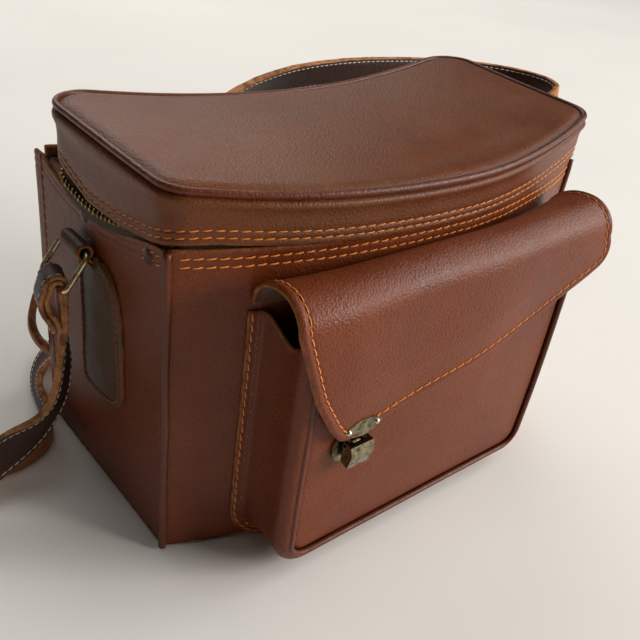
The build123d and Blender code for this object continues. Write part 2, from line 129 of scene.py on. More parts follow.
def corner(side, out, inset):
    """Where the right end wall meets the front (side -1) or back (side 1) wall, both moved out."""
    y = side * CORNER_Y
    for _ in range(20):
        y = front_y(end_x(y, out), out) if side < 0 else back_y(end_x(y, out), out) - inset
    return end_x(y, out), y


def kidney(front_in, back_in, inset=0.0):
    """Closed plan with round corners: base points and outward normals, so that a line at any distance
    is points + distance * normals. It starts at the middle of the back and comes round by the left end."""
    fx, fy = corner(-1, -front_in, inset)
    bx, by = corner(1, -back_in, inset)
    front_t = math.asin(fx / (FRONT_R - front_in))
    back_t = math.asin(bx / (BACK_R + back_in))
    end_n = np.array([math.cos(END_ANGLE), -math.sin(END_ANGLE)])

    def fan(centre, radius, a, b, n):
        t = np.linspace(a, b, n)[1:-1]
        normal = np.stack([np.cos(t), np.sin(t)], 1)
        return np.array(centre) + radius * normal, normal

    right = []
    t = np.linspace(0, front_t, 48)
    normal = np.stack([np.sin(t), -np.cos(t)], 1)
    right.append((np.array([0, FRONT_CENTRE]) + FRONT_R * normal, normal))
    right.append(fan((fx, fy), front_in, front_t - math.pi / 2, -END_ANGLE, 14))
    start, stop = np.array([fx, fy]) + front_in * end_n, np.array([bx, by]) + back_in * end_n
    t = np.linspace(0, 1, 36)[:, None]
    right.append((start + t * (stop - start), np.repeat(end_n[None], 36, 0)))
    right.append(fan((bx, by), back_in, -END_ANGLE, math.pi / 2 + back_t, 14))
    t = np.linspace(back_t, 0, 48)
    normal = np.stack([-np.sin(t), np.cos(t)], 1)
    right.append((np.array([0, BACK_CENTRE - inset]) - BACK_R * normal, normal))
    points = np.concatenate([p for p, _ in right])
    normals = np.concatenate([n for _, n in right])
    mirror = np.array([-1, 1])
    left_points, left_normals = points[::-1] * mirror, normals[::-1] * mirror
    points = np.concatenate([left_points[:-1], points[:-1]])
    normals = np.concatenate([left_normals[:-1], normals[:-1]])
    return points, normals


def saddle(x):
    """How much lower than its ends the lid is at x."""
    return -LID_DIP * (1 - (x / FRONT_HALF) ** 2)


def share(value, low, high):
    """How far value is on its way from low to high, from 0 to 1."""
    return np.clip((value - low) / (high - low), 0, 1)


def smooth_share(value, low, high):
    t = share(value, low, high)
    return t * t * (3 - 2 * t)


# How far the leather of the ends hangs below a straight line at y: (y, drop) in mm, for the lid's hem
# and for the top edge of the walls.
HEM_SAG = ((-72, 0), (-53, 6), (-26, 11.5), (7, 14), (32, 7), (55, 2), (66, 0))
TOP_SAG = ((-60, 0), (-50, 1.5), (-41, 4), (-22, 9.5), (-2, 13.4), (13, 13.8), (30, 12.3), (41, 11),
           (52, 8), (62, 4))
DEEPEST_TOP_SAG = 13.8 * MM
SAG_FROM_X, SAG_FULL_X = 100 * MM, 130 * MM


def sag(table, x, y):
    at, drop = np.array(table, float).T * MM
    return np.interp(y, at, drop) * smooth_share(np.abs(x), SAG_FROM_X, SAG_FULL_X)


# ---------------------------------------------------------------- grids and meshes
def unit(v):
    return v / np.maximum(np.linalg.norm(v, axis=-1, keepdims=True), 1e-12)


def lengths(line):
    return np.concatenate([[0.0], np.cumsum(np.linalg.norm(np.diff(line, axis=0), axis=1))])


def sample(line, s, values=None):
    """Points of a polyline at distances s along it, or the values given at its points."""
    line = np.asarray(line, float)
    values = line if values is None else values
    along = lengths(line)
    return np.stack([np.interp(s, along, column) for column in values.T], 1)


def distance_to(line, plan, n):
    """Distance of each point of a flat grid from a line, looked up at n places along the line."""
    fine = sample(line, np.linspace(0, lengths(line)[-1], n))
    far = np.array([np.sqrt(((fine - p) ** 2).sum(1).min()) for p in plan.reshape(-1, 2)])
    return far.reshape(plan.shape[:2])


def spaced(n, crowd=0.55):
    """n parameters from 0 to 1, closer together at both ends."""
    t = np.linspace(0, 1, n)
    return (1 - crowd) * t + crowd * (1 - np.cos(math.pi * t)) / 2


def coons(bottom, right, top, left, nu, nv, crowd=0.6):
    """Grid of points that fills four sides: bottom and top run with u, left and right with v."""
    u, v = spaced(nu, crowd), spaced(nv, crowd)
    b, t = sample(bottom, u * lengths(bottom)[-1]), sample(top, u * lengths(top)[-1])
    l, r = sample(left, v * lengths(left)[-1]), sample(right, v * lengths(right)[-1])
    uu, vv = u[:, None, None], v[None, :, None]
    grid = (1 - vv) * b[:, None] + vv * t[:, None] + (1 - uu) * l[None] + uu * r[None]
    corners = (1 - uu) * (1 - vv) * b[0] + uu * (1 - vv) * b[-1] + (1 - uu) * vv * t[0] + uu * vv * t[-1]
    return grid - corners


def grid_normals(grid, closed=False):
    if closed:
        du = np.roll(grid, -1, 0) - np.roll(grid, 1, 0)
    else:
        du = np.gradient(grid, axis=0)
    dv = np.gradient(grid, axis=1)
    return unit(np.cross(du, dv))


def border_distance(grid, closed=False):
    """Distance of every grid point from the sheet's border, along the grid lines."""
    steps = np.linalg.norm(np.diff(grid, axis=1), axis=2)
    s = np.concatenate([np.zeros((len(grid), 1)), np.cumsum(steps, 1)], 1)
    far = np.minimum(s, s[:, -1:] - s)
    if not closed:
        steps = np.linalg.norm(np.diff(grid, axis=0), axis=2)
        s = np.concatenate([np.zeros((1, grid.shape[1])), np.cumsum(steps, 0)], 0)
        far = np.minimum(far, np.minimum(s, s[-1:] - s))
    return far


SOFT_SIZE = 14.0         # waves of the soft unevenness per metre, roughly
SOFT_DEPTH = 0.7 * MM


def soften(points):
    """The slight unevenness of hand-made soft leather: one smooth field, so that neighbours stay together."""
    shape = points.shape
    flat = points.reshape(-1, 3)
    moved = np.array([noise.noise_vector(Vector(p) * SOFT_SIZE) for p in flat])
    moved[:, 2] *= np.clip((flat[:, 2] - 2 * MM) / (30 * MM), 0, 1)
    return (flat + moved * SOFT_DEPTH).reshape(shape)


def build(name, verts, faces, materials, face_materials=None, smooth=True, **attributes):
    """A mesh object from points and faces, with its outside found again from its shape."""
    mesh = bpy.data.meshes.new(name)
    mesh.from_pydata([tuple(p) for p in verts], [], [tuple(int(i) for i in f) for f in faces])
    for m in materials:
        mesh.materials.append(m)
    if face_materials is not None:
        mesh.polygons.foreach_set("material_index", np.asarray(face_materials, np.int32))
    for key, values in attributes.items():
        mesh.attributes.new(key, "FLOAT", "POINT").data.foreach_set("value", np.asarray(values, np.float32))
    shaped = bmesh.new()
    shaped.from_mesh(mesh)
    bmesh.ops.recalc_face_normals(shaped, faces=shaped.faces)
    shaped.to_mesh(mesh)
    shaped.free()
    mesh.polygons.foreach_set("use_smooth", np.full(len(mesh.polygons), smooth))
    obj = bpy.data.objects.new(name, mesh)
    bpy.context.scene.collection.objects.link(obj)
    return obj


def ring_faces(count, size, closed=False):
    """Quads between rings of points that follow one another."""
    faces = []
    for i in range(count if closed else count - 1):
        a, b = i * size, (i + 1) % count * size
        for j in range(size):
            k = (j + 1) % size
            faces.append((a + j, b + j, b + k, a + k))
    return faces


def end_caps(count, size):
    """Flat ends on the first and the last ring."""
    return [tuple(range(size)), tuple((count - 1) * size + j for j in range(size))[::-1]]


OUTER, FLESH, RAW, THREAD = 0, 1, 2, 3


def sheet(name, grid, thickness, materials, closed=False, bulge=0.35, soft=True):
    """A leather sheet from its outer surface, a grid of points (u, v): both faces and round raw edges.
    materials are for the outer face, the flesh side and the raw edge."""
    if soft:
        grid = soften(grid)
    nu, nv = grid.shape[:2]
    inner = grid - grid_normals(grid, closed) * thickness
    middle = (grid + inner) / 2
    high = middle[:, -1] + unit(grid[:, -1] - grid[:, -2]) * thickness * bulge
    low = middle[:, 0] + unit(grid[:, 0] - grid[:, 1]) * thickness * bulge
    ring = np.concatenate([grid, high[:, None], inner[:, ::-1], low[:, None]], 1)
    far = border_distance(grid, closed)
    zero = np.zeros((nu, 1))
    edge = np.concatenate([far, zero, far[:, ::-1], zero], 1)
    n = ring.shape[1]
    verts, edges = list(ring.reshape(-1, 3)), list(edge.reshape(-1))
    faces = ring_faces(nu, n, closed)
    marks = ([OUTER] * (nv - 1) + [RAW] * 2 + [FLESH] * (nv - 1) + [RAW] * 2) * (len(faces) // n)
    if not closed:
        for i, step in ((0, -1), (nu - 1, 1)):
            way = unit(grid[i] - grid[i - step]) * thickness * bulge
            first = len(verts)
            verts.extend(middle[i] + way)
            edges.extend([0.0] * nv)
            a = i * n
            for j in range(nv - 1):
                inside, inside_next = a + 2 * nv - j, a + 2 * nv - j - 1
                faces.append((a + j, a + j + 1, first + j + 1, first + j))
                faces.append((first + j, first + j + 1, inside_next, inside))
            faces.append((a + nv - 1, a + nv, first + nv - 1))
            faces.append((a + nv, a + nv + 1, first + nv - 1))
            faces.append((a, first, a + 2 * nv + 1))
            faces.append((a + 2 * nv + 1, first, a + 2 * nv))
            marks.extend([RAW] * (2 * nv + 2))
    return build(name, verts, faces, materials, marks, edge=edges)


def tube_parts(line, radius, sides=10, closed=False):
    """Points and faces of a round tube along a line."""
    line = np.asarray(line, float)
    n = len(line)
    tangent = unit(np.roll(line, -1, 0) - np.roll(line, 1, 0)) if closed else unit(np.gradient(line, axis=0))
    side = np.zeros_like(line)
    guess = np.array([0.31, 0.17, 0.93])
    for i in range(n):
        guess = guess - tangent[i] * guess.dot(tangent[i])
        guess = guess / np.linalg.norm(guess)
        side[i] = guess
    up = np.cross(tangent, side)
    angle = np.arange(sides) * 2 * math.pi / sides
    radius = np.broadcast_to(np.asarray(radius, float), (n,))
    ring = (line[:, None] + radius[:, None, None] * (
        np.cos(angle)[None, :, None] * side[:, None] + np.sin(angle)[None, :, None] * up[:, None]))
    faces = ring_faces(n, sides, closed)
    return ring.reshape(-1, 3), faces if closed else faces + end_caps(n, sides)


def gather(parts):
    """Several (points, faces) as one."""
    verts, faces, base = [], [], 0
    for v, f in parts:
        verts.extend(v)
        faces.extend([tuple(base + i for i in face) for face in f])
        base += len(v)
    return np.array(verts), faces


FAR_FROM_EDGE = 10 * MM  # where a piece has no cut edge for its material to rub
PITCH = 5.7 * MM
STITCH = 5.1 * MM
THREAD_R = 0.33 * MM
chance = random.Random(7)
noise.seed_set(7)        # without it, soften would start from the clock


def stitch_parts(line, normals, pitch=PITCH, length=STITCH, radius=THREAD_R, slant=0.3 * MM, sink=0.4 * MM,
                 rise=0.26 * MM, loose=0.0):
    """Thread of one seam: each stitch comes up out of the leather, arches over it and goes down again.
    normals is one direction for the whole line or one at each of its points."""
    line = np.asarray(line, float)
    normals = np.broadcast_to(np.asarray(normals, float), line.shape)
    total = lengths(line)[-1]
    count = max(1, int(total / pitch))
    pitch = total / count
    length = min(length, 0.92 * pitch)
    steps = np.array([0.0, 0.16, 0.5, 0.84, 1.0])
    lift = np.array([-sink, 0.25 * rise, rise, 0.25 * rise, -sink])
    widths = radius * np.array([0.7, 1.0, 1.06, 1.0, 0.7])
    parts = []
    for k in range(count):
        middle = (k + 0.5) * pitch
        s = np.clip(middle + (steps - 0.5) * length, 0, total)
        at = sample(line, s)
        up = unit(sample(line, s, normals))
        along = unit(at[-1] - at[0])
        across = np.cross(up, along)
        lean = (steps - 0.5) * 2 * slant + chance.uniform(-loose, loose)
        centre = at + up * (lift + chance.uniform(-0.04, 0.05) * MM)[:, None] + across * lean[:, None]
        parts.append(tube_parts(centre, widths, 6))
    return parts


def seam(name, rows, material, body=None, soft=True, **kind):
    """The stitches of some rows as one piece. Each row is (points, normals)."""
    parts = []
    for line, normals in rows:
        line = soften(np.asarray(line, float)) if soft else line
        parts.extend(stitch_parts(line, normals, **kind))
    verts, faces = gather(parts)
    obj = build(name, verts, faces, [material])
    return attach(obj, body) if body else obj


def piping(name, line, radius, sides, closed=False):
    verts, faces = tube_parts(soften(line), radius, sides, closed)
    return build(name, verts, faces, [PIPING], edge=np.full(len(verts), FAR_FROM_EDGE))


# ---------------------------------------------------------------- materials
def rgb(r, g, b):
    """Linear colour from an ordinary 0 to 255 one."""
    def channel(c):
        c /= 255
        return c / 12.92 if c <= 0.04045 else ((c + 0.055) / 1.055) ** 2.4
    return channel(r), channel(g), channel(b), 1.0


class Nodes:
    """A material's node tree, with short names for what the materials here use."""

    def __init__(self, name, roughness=0.5, metallic=0.0, coat=0.0, sheen=0.0, specular=0.5):
        self.material = bpy.data.materials.new(name)
        self.material.use_nodes = True
        self.tree = self.material.node_tree
        self.shader = self.tree.nodes["Principled BSDF"]
        for socket, number in (("Roughness", roughness), ("Metallic", metallic), ("Coat Weight", coat),
                               ("Coat Roughness", 0.35), ("Sheen Weight", sheen), ("Sheen Roughness", 0.5),
                               ("Specular IOR Level", specular)):
            self.set(socket, number)
        self.place = self.tree.nodes.new("ShaderNodeTexCoord").outputs["Object"]

    def link(self, source, target):
        """Gives an input a number, a 0 to 255 colour, or the output of another node."""
        if isinstance(source, (int, float)):
            target.default_value = source
        elif isinstance(source, tuple):
            target.default_value = rgb(*source)
        else:
            self.tree.links.new(source, target)

    def set(self, socket, source):
        self.link(source, self.shader.inputs[socket])

    def node(self, kind, inputs, **settings):
        node = self.tree.nodes.new("ShaderNode" + kind)
        for key, value in settings.items():
            setattr(node, key, value)
        for key, source in inputs.items():
            self.link(source, node.inputs[key])
        return node.outputs

    def noise(self, scale, detail=3.0, rough=0.55, warp=0.0, vector=None):
        return self.node("TexNoise", {"Scale": scale, "Detail": detail, "Roughness": rough,
                                      "Distortion": warp, "Vector": vector or self.place})["Fac"]

    def cells(self, scale, smooth):
        return self.node("TexVoronoi", {"Scale": scale, "Smoothness": smooth, "Vector": self.place},
                         feature="SMOOTH_F1")["Distance"]

    def stretched(self, x, y, z):
        mapping = self.node("Mapping", {"Vector": self.place})["Vector"]
        mapping.node.inputs["Scale"].default_value = (x, y, z)
        return mapping

    def span(self, value, low, high, to_low=0.0, to_high=1.0):
        return self.node("MapRange", {"Value": value, "From Min": low, "From Max": high, "To Min": to_low,
                                      "To Max": to_high})["Result"]

    def math(self, kind, a, b):
        return self.node("Math", {0: a, 1: b}, operation=kind)["Value"]

    def plus(self, a, b):
        return self.math("ADD", a, b)

    def times(self, a, b):
        return self.math("MULTIPLY", a, b)

    def mix(self, factor, a, b):
        return self.node("Mix", {"Factor": factor, "A": a, "B": b}, data_type="RGBA")["Result"]

    def value(self, name):
        return self.node("Attribute", {}, attribute_name=name)["Fac"]

    def bump(self, height, distance, strength=1.0):
        relief = self.node("Bump", {"Distance": distance, "Strength": strength, "Height": height})
        self.set("Normal", relief["Normal"])


def leather(name, dark, base, light, worn, painted_sheen=0.0, grain=0.3 * MM, rough=(0.3, 0.46), coat=0.06):
    """Dressed cowhide: pebbled grain, cloudy colour, darker pores, edges rubbed to the worn colour, and where
    asked beige patches of painted sheen.
    """
    n = Nodes(name, coat=coat, specular=0.22)
    cloud = n.span(n.noise(13, 4, 0.6), 0.32, 0.68)
    mottle = n.span(n.noise(75, 5, 0.65), 0.3, 0.7)
    pebble = n.cells(880, 0.35)
    pores = n.noise(2300, 2)
    wrinkle = n.noise(260, 5, 0.62, 0.7)
    colour = n.mix(cloud, dark, base)
    colour = n.mix(n.times(mottle, 0.45), colour, light)
    colour = n.mix(n.span(pebble, 0.35, 0.75, 0.0, 0.45), colour, dark)
    # Beige patches painted into the colour: a painted reflection (sheen) of the pale surroundings.
    if painted_sheen:
        sheen_patches = n.times(n.span(n.noise(9, 3), 0.42, 0.72), painted_sheen)
        colour = n.mix(sheen_patches, colour, (112, 96, 70))
    scuffs = n.span(n.noise(420, 2, 0.5, 0.0, n.stretched(1, 0.35, 1)), 0.74, 0.8)
    rim = n.span(n.value("edge"), 0.2 * MM, 2.2 * MM, 1.0, 0.0)
    rubbed = n.times(rim, n.span(n.noise(160, 4), 0.38, 0.66))
    colour = n.mix(n.math("MAXIMUM", rubbed, n.times(scuffs, 0.3)), colour, worn)
    n.set("Base Color", colour)
    n.set("Roughness", n.span(n.plus(n.times(mottle, 0.6), n.times(pebble, 0.5)), 0.1, 0.8, *rough))
    height = n.plus(n.times(pebble, -1.0), n.times(wrinkle, 0.8))
    n.bump(n.plus(height, n.times(pores, 0.25)), grain, 0.8)
    return n.material


def suede(name, base, light):
    """Flesh side of leather: matt, fibrous."""
    n = Nodes(name, roughness=0.92, sheen=0.3, specular=0.2)
    fibre = n.noise(900, 6, 0.7, 0.6, n.stretched(1, 1, 0.4))
    patch = n.noise(60, 3)
    colour = n.mix(n.span(fibre, 0.3, 0.7), base, light)
    n.set("Base Color", n.mix(n.span(patch, 0.35, 0.7, 0.0, 0.4), colour, base))
    n.bump(fibre, 0.25 * MM, 0.9)
    return n.material


def raw_edge(name, base, light, dark):
    """Cut edge of leather: fibres in layers, stained in places."""
    n = Nodes(name, roughness=0.85, specular=0.25)
    fibre = n.noise(1500, 5, 0.75, 0.9)
    stain = n.span(n.noise(140, 4), 0.42, 0.62)
    colour = n.mix(n.span(fibre, 0.35, 0.65), base, light)
    n.set("Base Color", n.mix(n.times(stain, 0.75), colour, dark))
    n.bump(fibre, 0.3 * MM, 1.0)
    return n.material


def thread(name, base, light):
    n = Nodes(name, roughness=0.7, sheen=0.25, specular=0.3)
    twist = n.noise(2600, 2, 0.5, 0.4)
    shade = n.noise(220, 2)
    colour = n.mix(n.span(twist, 0.35, 0.65), base, light)
    n.set("Base Color", n.mix(n.span(shade, 0.4, 0.7, 0.0, 0.35), colour, base))
    n.bump(twist, 0.12 * MM, 1.0)
    return n.material


def metal(name, base, tarnish, rough, green=None):
    """Old plated metal: tarnish in clouds and fine scratches."""
    n = Nodes(name, metallic=1.0)
    cloud = n.span(n.noise(240, 5, 0.65), 0.45, 0.65)
    scratch = n.noise(700, 3, 0.6, 0.0, n.stretched(1, 1, 9))
    colour = n.mix(cloud, base, tarnish)
    if green:
        colour = n.mix(n.span(n.noise(420, 3), 0.56, 0.7, 0.0, 0.7), colour, green)
    n.set("Base Color", colour)
    n.set("Roughness", n.span(n.plus(cloud, n.times(scratch, 0.5)), 0.1, 1.3, *rough))
    n.bump(scratch, 0.05 * MM, 0.5)
    return n.material


def fabric(name, base, light, threads):
    """Plain woven cloth."""
    n = Nodes(name, roughness=0.9, sheen=0.2, specular=0.2)
    bands = {"Scale": threads / 3, "Distortion": 1.2, "Vector": n.place}
    weave = n.times(*[n.node("TexWave", bands, bands_direction=way)["Fac"] for way in ("DIAGONAL", "Z")])
    fuzz = n.noise(500, 4, 0.7)
    n.set("Base Color", n.mix(n.times(n.plus(weave, fuzz), 0.6), base, light))
    n.bump(n.plus(weave, n.times(fuzz, 0.5)), 0.2 * MM, 0.9)
    return n.material


def board_material():
    n = Nodes("grey_board", roughness=0.9, specular=0.2)
    fleck = n.noise(700, 5, 0.7)
    n.set("Base Color", n.mix(n.span(fleck, 0.4, 0.6), (110, 98, 82), (138, 124, 104)))
    n.bump(fleck, 0.15 * MM, 0.7)
    return n.material


def floor_material():
    n = Nodes("pale_floor", roughness=0.75, specular=0.2)
    n.set("Base Color", n.mix(n.span(n.noise(3, 4), 0.3, 0.7), (234, 232, 227), (239, 237, 232)))
    return n.material


BROWN = leather("brown_leather", (92, 38, 13), (116, 52, 21), (130, 66, 32), (154, 90, 44))
# The lid's and the chapes' leather carry beige patches of painted sheen.
LID_BROWN = leather("lid_leather", (90, 40, 14), (110, 54, 21), (124, 68, 31), (150, 92, 46), painted_sheen=0.25)
PIPING = leather("piping_leather", (80, 34, 15), (100, 46, 23), (116, 60, 32), (138, 80, 42),
                 rough=(0.22, 0.36), coat=0.15)
CHAPE = leather("chape_leather", (70, 40, 22), (84, 58, 36), (92, 70, 46), (128, 60, 30), painted_sheen=0.35)
STRAP = leather("strap_leather", (44, 22, 15), (60, 32, 22), (76, 46, 34), (104, 66, 40),
                rough=(0.4, 0.55))
FLESH_SIDE = suede("flesh_side", (70, 40, 22), (100, 62, 36))
STRAP_FLESH = suede("strap_flesh", (158, 92, 44), (190, 124, 68))
EDGE = raw_edge("cut_edge", (138, 82, 40), (176, 118, 66), (72, 36, 20))
STRAP_EDGE = raw_edge("strap_cut_edge", (168, 108, 66), (210, 152, 102), (88, 50, 29))
ORANGE = thread("orange_thread", (228, 112, 20), (255, 172, 58))
RED_THREAD = thread("red_brown_thread", (150, 62, 28), (190, 92, 48))
WHITE = thread("white_thread", (186, 176, 160), (226, 220, 206))
BRASS = metal("zip_brass", (150, 116, 62), (70, 54, 30), (0.3, 0.5))
NICKEL = metal("clasp_metal", (148, 138, 112), (74, 64, 44), (0.18, 0.4), green=(96, 98, 66))
RIVET_METAL = metal("clasp_rivet_metal", (214, 206, 190), (140, 126, 100), (0.15, 0.35))
WIRE = metal("ring_metal", (224, 208, 172), (168, 136, 86), (0.2, 0.4))
PAINT = leather("rivet_paint", (52, 22, 13), (70, 31, 19), (86, 44, 28), (110, 66, 40),
                grain=0.05 * MM, rough=(0.25, 0.4))
TAPE = fabric("zip_tape", (44, 30, 18), (74, 54, 34), 900)
LINING = fabric("lining_cloth", (104, 70, 46), (140, 104, 74), 700)
BOARD = board_material()
SKIN = [BROWN, FLESH_SIDE, EDGE]
LID_SKIN = [LID_BROWN, FLESH_SIDE, EDGE]
CHAPE_SKIN = [CHAPE, FLESH_SIDE, EDGE]


def own(obj, body, slot, *nodes):
    """Puts a piece on its body and hides the CAD nodes that it stands for. Its slot is not used."""
    if nodes:
        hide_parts(*nodes)
    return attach(obj, body)


def edge_drop(far, depth, reach, power=2.2):
    """How a surface drops towards its border: by depth there, by nothing farther than reach from it."""
    return -depth * (1 - share(far, 0, reach)) ** power


# ---------------------------------------------------------------- body
GROOVE = 0.3 * MM        # how deep a row of stitches lies in the leather
STITCH_IN = 0.6 * GROOVE
CORNER_IN = 1.4 * MM     # from the corner of the body in to where an end panel starts


def hump(value, middle, width):
    """Soft bump of height 1 round a middle value."""
    return np.exp(-((value - middle) / width) ** 2)


def wall_profile(z, low, high, rows=()):
    """How far out a wall stands at height z: rounded foot and top edge, a groove under each stitch row."""
    out = edge_drop(z - low, 2.4 * MM, 5 * MM, 2.4) + edge_drop(high - z, 0.7 * MM, 1.8 * MM, 2)
    for row in rows:
        out = out - GROOVE * hump(z, row, 0.9 * MM)
    return out


TOP_ROWS = (BODY_TOP - 4.3 * MM, BODY_TOP - 8.6 * MM)
FOOT = 0.6 * MM
END_ROWS = (END_TOP - 4.0 * MM, END_TOP - 8.3 * MM)


def heights(low, high, rows=(), n=46):
    """Heights for a wall's grid, with more of them round the stitch rows and at both edges."""
    fine = [r + d * MM for r in rows for d in (-1.6, -0.9, -0.4, 0, 0.4, 0.9, 1.6)]
    ends = [low + d * MM for d in (0, 0.7, 1.6, 2.8, 4.4)] + [high - d * MM for d in (0, 0.3, 0.8, 1.5)]
    z = np.unique(np.round(np.concatenate([np.linspace(low, high, n), fine, ends]), 6))
    return z[np.concatenate([[True], np.diff(z) > 0.2 * MM])]


def side_drop(x, half):
    """Drop of a panel into the seams at both its ends, half its length from the middle."""
    return edge_drop(half - np.abs(x), 0.9 * MM, 3.2 * MM, 2)


def front_panel():
    x = (spaced(110, 0.5) * 2 - 1) * (FRONT_HALF - 0.8 * MM)
    z = heights(FOOT, BODY_TOP, TOP_ROWS)
    out = wall_profile(z, FOOT, BODY_TOP, TOP_ROWS)[None] + side_drop(x, FRONT_HALF)[:, None]
    out = out + 0.8 * MM * np.sin(np.pi * z / BODY_TOP)[None] * np.cos(x / FRONT_HALF * 1.4)[:, None]
    t = np.arcsin(x / FRONT_R)
    gx = (FRONT_R + out) * np.sin(t)[:, None]
    gy = FRONT_CENTRE - (FRONT_R + out) * np.cos(t)[:, None]
    grid = np.stack([gx, gy, np.broadcast_to(z, gx.shape)], 2)
    own(sheet("front_leather", grid, LEATHER, SKIN), "root", "brown_leather", "front_panel")
    t = np.linspace(-1, 1, 200) * math.asin((FRONT_HALF - 4 * MM) / FRONT_R)
    normal = np.stack([np.sin(t), -np.cos(t), 0 * t], 1)
    rows = [(normal * (FRONT_R - STITCH_IN) + [0, FRONT_CENTRE, z_row], normal) for z_row in TOP_ROWS]
    seam("front_edge_stitches", rows, ORANGE, "root", loose=0.15 * MM)


def back_panel():
    half = corner(1, -LEATHER, 0)[0] - 0.2 * MM
    x = (spaced(90, 0.5) * 2 - 1) * half
    z = heights(FOOT, BODY_TOP - 0.5 * MM)
    out = wall_profile(z, FOOT, BODY_TOP)[None] + side_drop(x, half)[:, None]
    t = np.arcsin(x / BACK_R)[::-1]
    out = out[::-1]
    gx = (BACK_R - out) * np.sin(t)[:, None]
    gy = BACK_CENTRE - (BACK_R - out) * np.cos(t)[:, None]
    grid = np.stack([gx, gy, np.broadcast_to(z, gx.shape)], 2)
    own(sheet("back_leather", grid, LEATHER, SKIN), "root", "brown_leather", "back_panel")


def on_end(side, y, z, out):
    """Points on an end wall: side is 1 at the right, -1 at the left."""
    x = side * (FRONT_HALF + END_SLOPE * (y + CORNER_Y) + out * math.cos(END_ANGLE))
    return np.stack(np.broadcast_arrays(x, y - out * math.sin(END_ANGLE), z), -1)


def end_normal(side):
    return np.array([side * math.cos(END_ANGLE), -math.sin(END_ANGLE), 0.0])


FLANGE_ROW_Y = FLANGE_Y - 8 * MM
END_SAG_FROM = 120 * MM


def end_panels():
    for side, word in ((1, "right"), (-1, "left")):
        y = np.unique(np.concatenate([
            np.linspace(-CORNER_Y + CORNER_IN, FLANGE_Y, 60),
            FLANGE_ROW_Y + np.array([-1.6, -0.8, 0, 0.8, 1.6]) * MM]))
        z = heights(FOOT, END_TOP, END_ROWS)
        gy, gz = np.meshgrid(y, z, indexing="ij")
        out = wall_profile(gz, FOOT, END_TOP, END_ROWS) - GROOVE * hump(gy, FLANGE_ROW_Y, 0.9 * MM)
        out = out + edge_drop(gy + CORNER_Y - CORNER_IN, 0.9 * MM, 3 * MM, 2)
        out = out + 0.9 * MM * np.sin(np.pi * gz / END_TOP) * np.cos(gy / CORNER_Y * 1.5)
        drop = sag(TOP_SAG, BACK_HALF, gy) * share(gz, END_SAG_FROM, END_TOP)
        grid = on_end(side, gy, gz - drop, out)
        if side < 0:
            grid = grid[::-1]
        name = f"{word}_end_panel"
        own(sheet(f"{word}_end_leather", grid, LEATHER, SKIN), "root", "brown_leather", name)
        normal = end_normal(side)
        t = np.linspace(0, 1, 60)
        rear = on_end(side, FLANGE_ROW_Y, 3 * MM + t * (END_TOP - 6 * MM), 0) - normal * STITCH_IN
        seam(f"{word}_flange_stitches", [(rear, normal)], RED_THREAD, "root", radius=0.36 * MM)
        row_y = -CORNER_Y + (5 + 18 * t) * MM
        sagged = sag(TOP_SAG, BACK_HALF, row_y)
        rows = [(on_end(side, row_y, z_row - sagged, 0) - normal * STITCH_IN, normal) for z_row in END_ROWS]
        seam(f"{word}_end_edge_stitches", rows, ORANGE, "root", loose=0.25 * MM, slant=0.7 * MM)


def corner_piping():
    for side, word in ((1, "right"), (-1, "left")):
        z = np.linspace(FOOT + 1.6 * MM, BODY_TOP - 1.0 * MM, 70)
        x = side * (FRONT_HALF + 0.3 * MM)
        bow = 0.25 * MM * np.sin(z * 90)
        line = np.stack([x + bow, np.full(70, -CORNER_Y - 0.3 * MM), z], 1)
        radius = np.where(z > BODY_TOP - 4 * MM, 1.9 * MM, 2.2 * MM)
        own(piping(f"{word}_corner_piping", line, radius, 14),
            "root", "piping_leather", f"{word}_corner_welt")


def cut(line, a, b):
    """Stretch of a closed line from index a to b, going forwards."""
    count = (b - a) % len(line)
    return line[(a + np.arange(count + 1)) % len(line)]


def kidney_patch(outline, nu, nv, crowd):
    """Grid over the area inside a closed kidney outline, and each point's distance from the outline."""
    fl, fr, br, bl = [int(np.argmax(outline @ way)) for way in ((-0.8, -1), (0.8, -1), (0.8, 1), (-0.8, 1))]
    front, right = cut(outline, fl, fr), cut(outline, fr, br)
    back, left = cut(outline, br, bl)[::-1], cut(outline, bl, fl)[::-1]
    plan = coons(front, right, back, left, nu, nv, crowd)
    ring = np.concatenate([outline, outline[:1]])
    return plan, distance_to(ring, plan, 1400)


def base():
    """Underside: the panel's edge is turned up a little all round."""
    points, normals = kidney(3 * MM, 3 * MM)
    plan, far = kidney_patch(points - normals * 0.3 * MM, 90, 60, 0.7)
    z = FOOT - edge_drop(far, 1.2 * MM, 5 * MM)
    grid = np.dstack([plan, z])[::-1]
    own(sheet("base_leather", grid, LEATHER - 1 * MM, SKIN), "root", "brown_leather", "base_panel")


front_panel()
back_panel()
end_panels()
corner_piping()
base()


# ---------------------------------------------------------------- lid
def back_inset(x):
    """How far inside the body's back wall the lid's back wall stands: only its corners do."""
    return LID_BACK_INSET * np.minimum(1, (x / LID_BACK_CORNER) ** 2)


LID_POINTS, LID_NORMALS = kidney(LID_FRONT_R, LID_BACK_R, LID_BACK_INSET)
LID_POINTS[:, 1] += (LID_POINTS[:, 1] > 0) * (LID_BACK_INSET - back_inset(LID_POINTS[:, 0]))
BAND_ROWS = (3.6 * MM, 7.2 * MM)
BAND_HEM = 8.4 * MM      # height of the hem at the foot of the band, below which it keeps its shape
BACK_HEM_Z = 191.8 * MM  # the hem's lowest place at the back, over the hinge
BAND_STITCH_OUT = 1.1 * MM


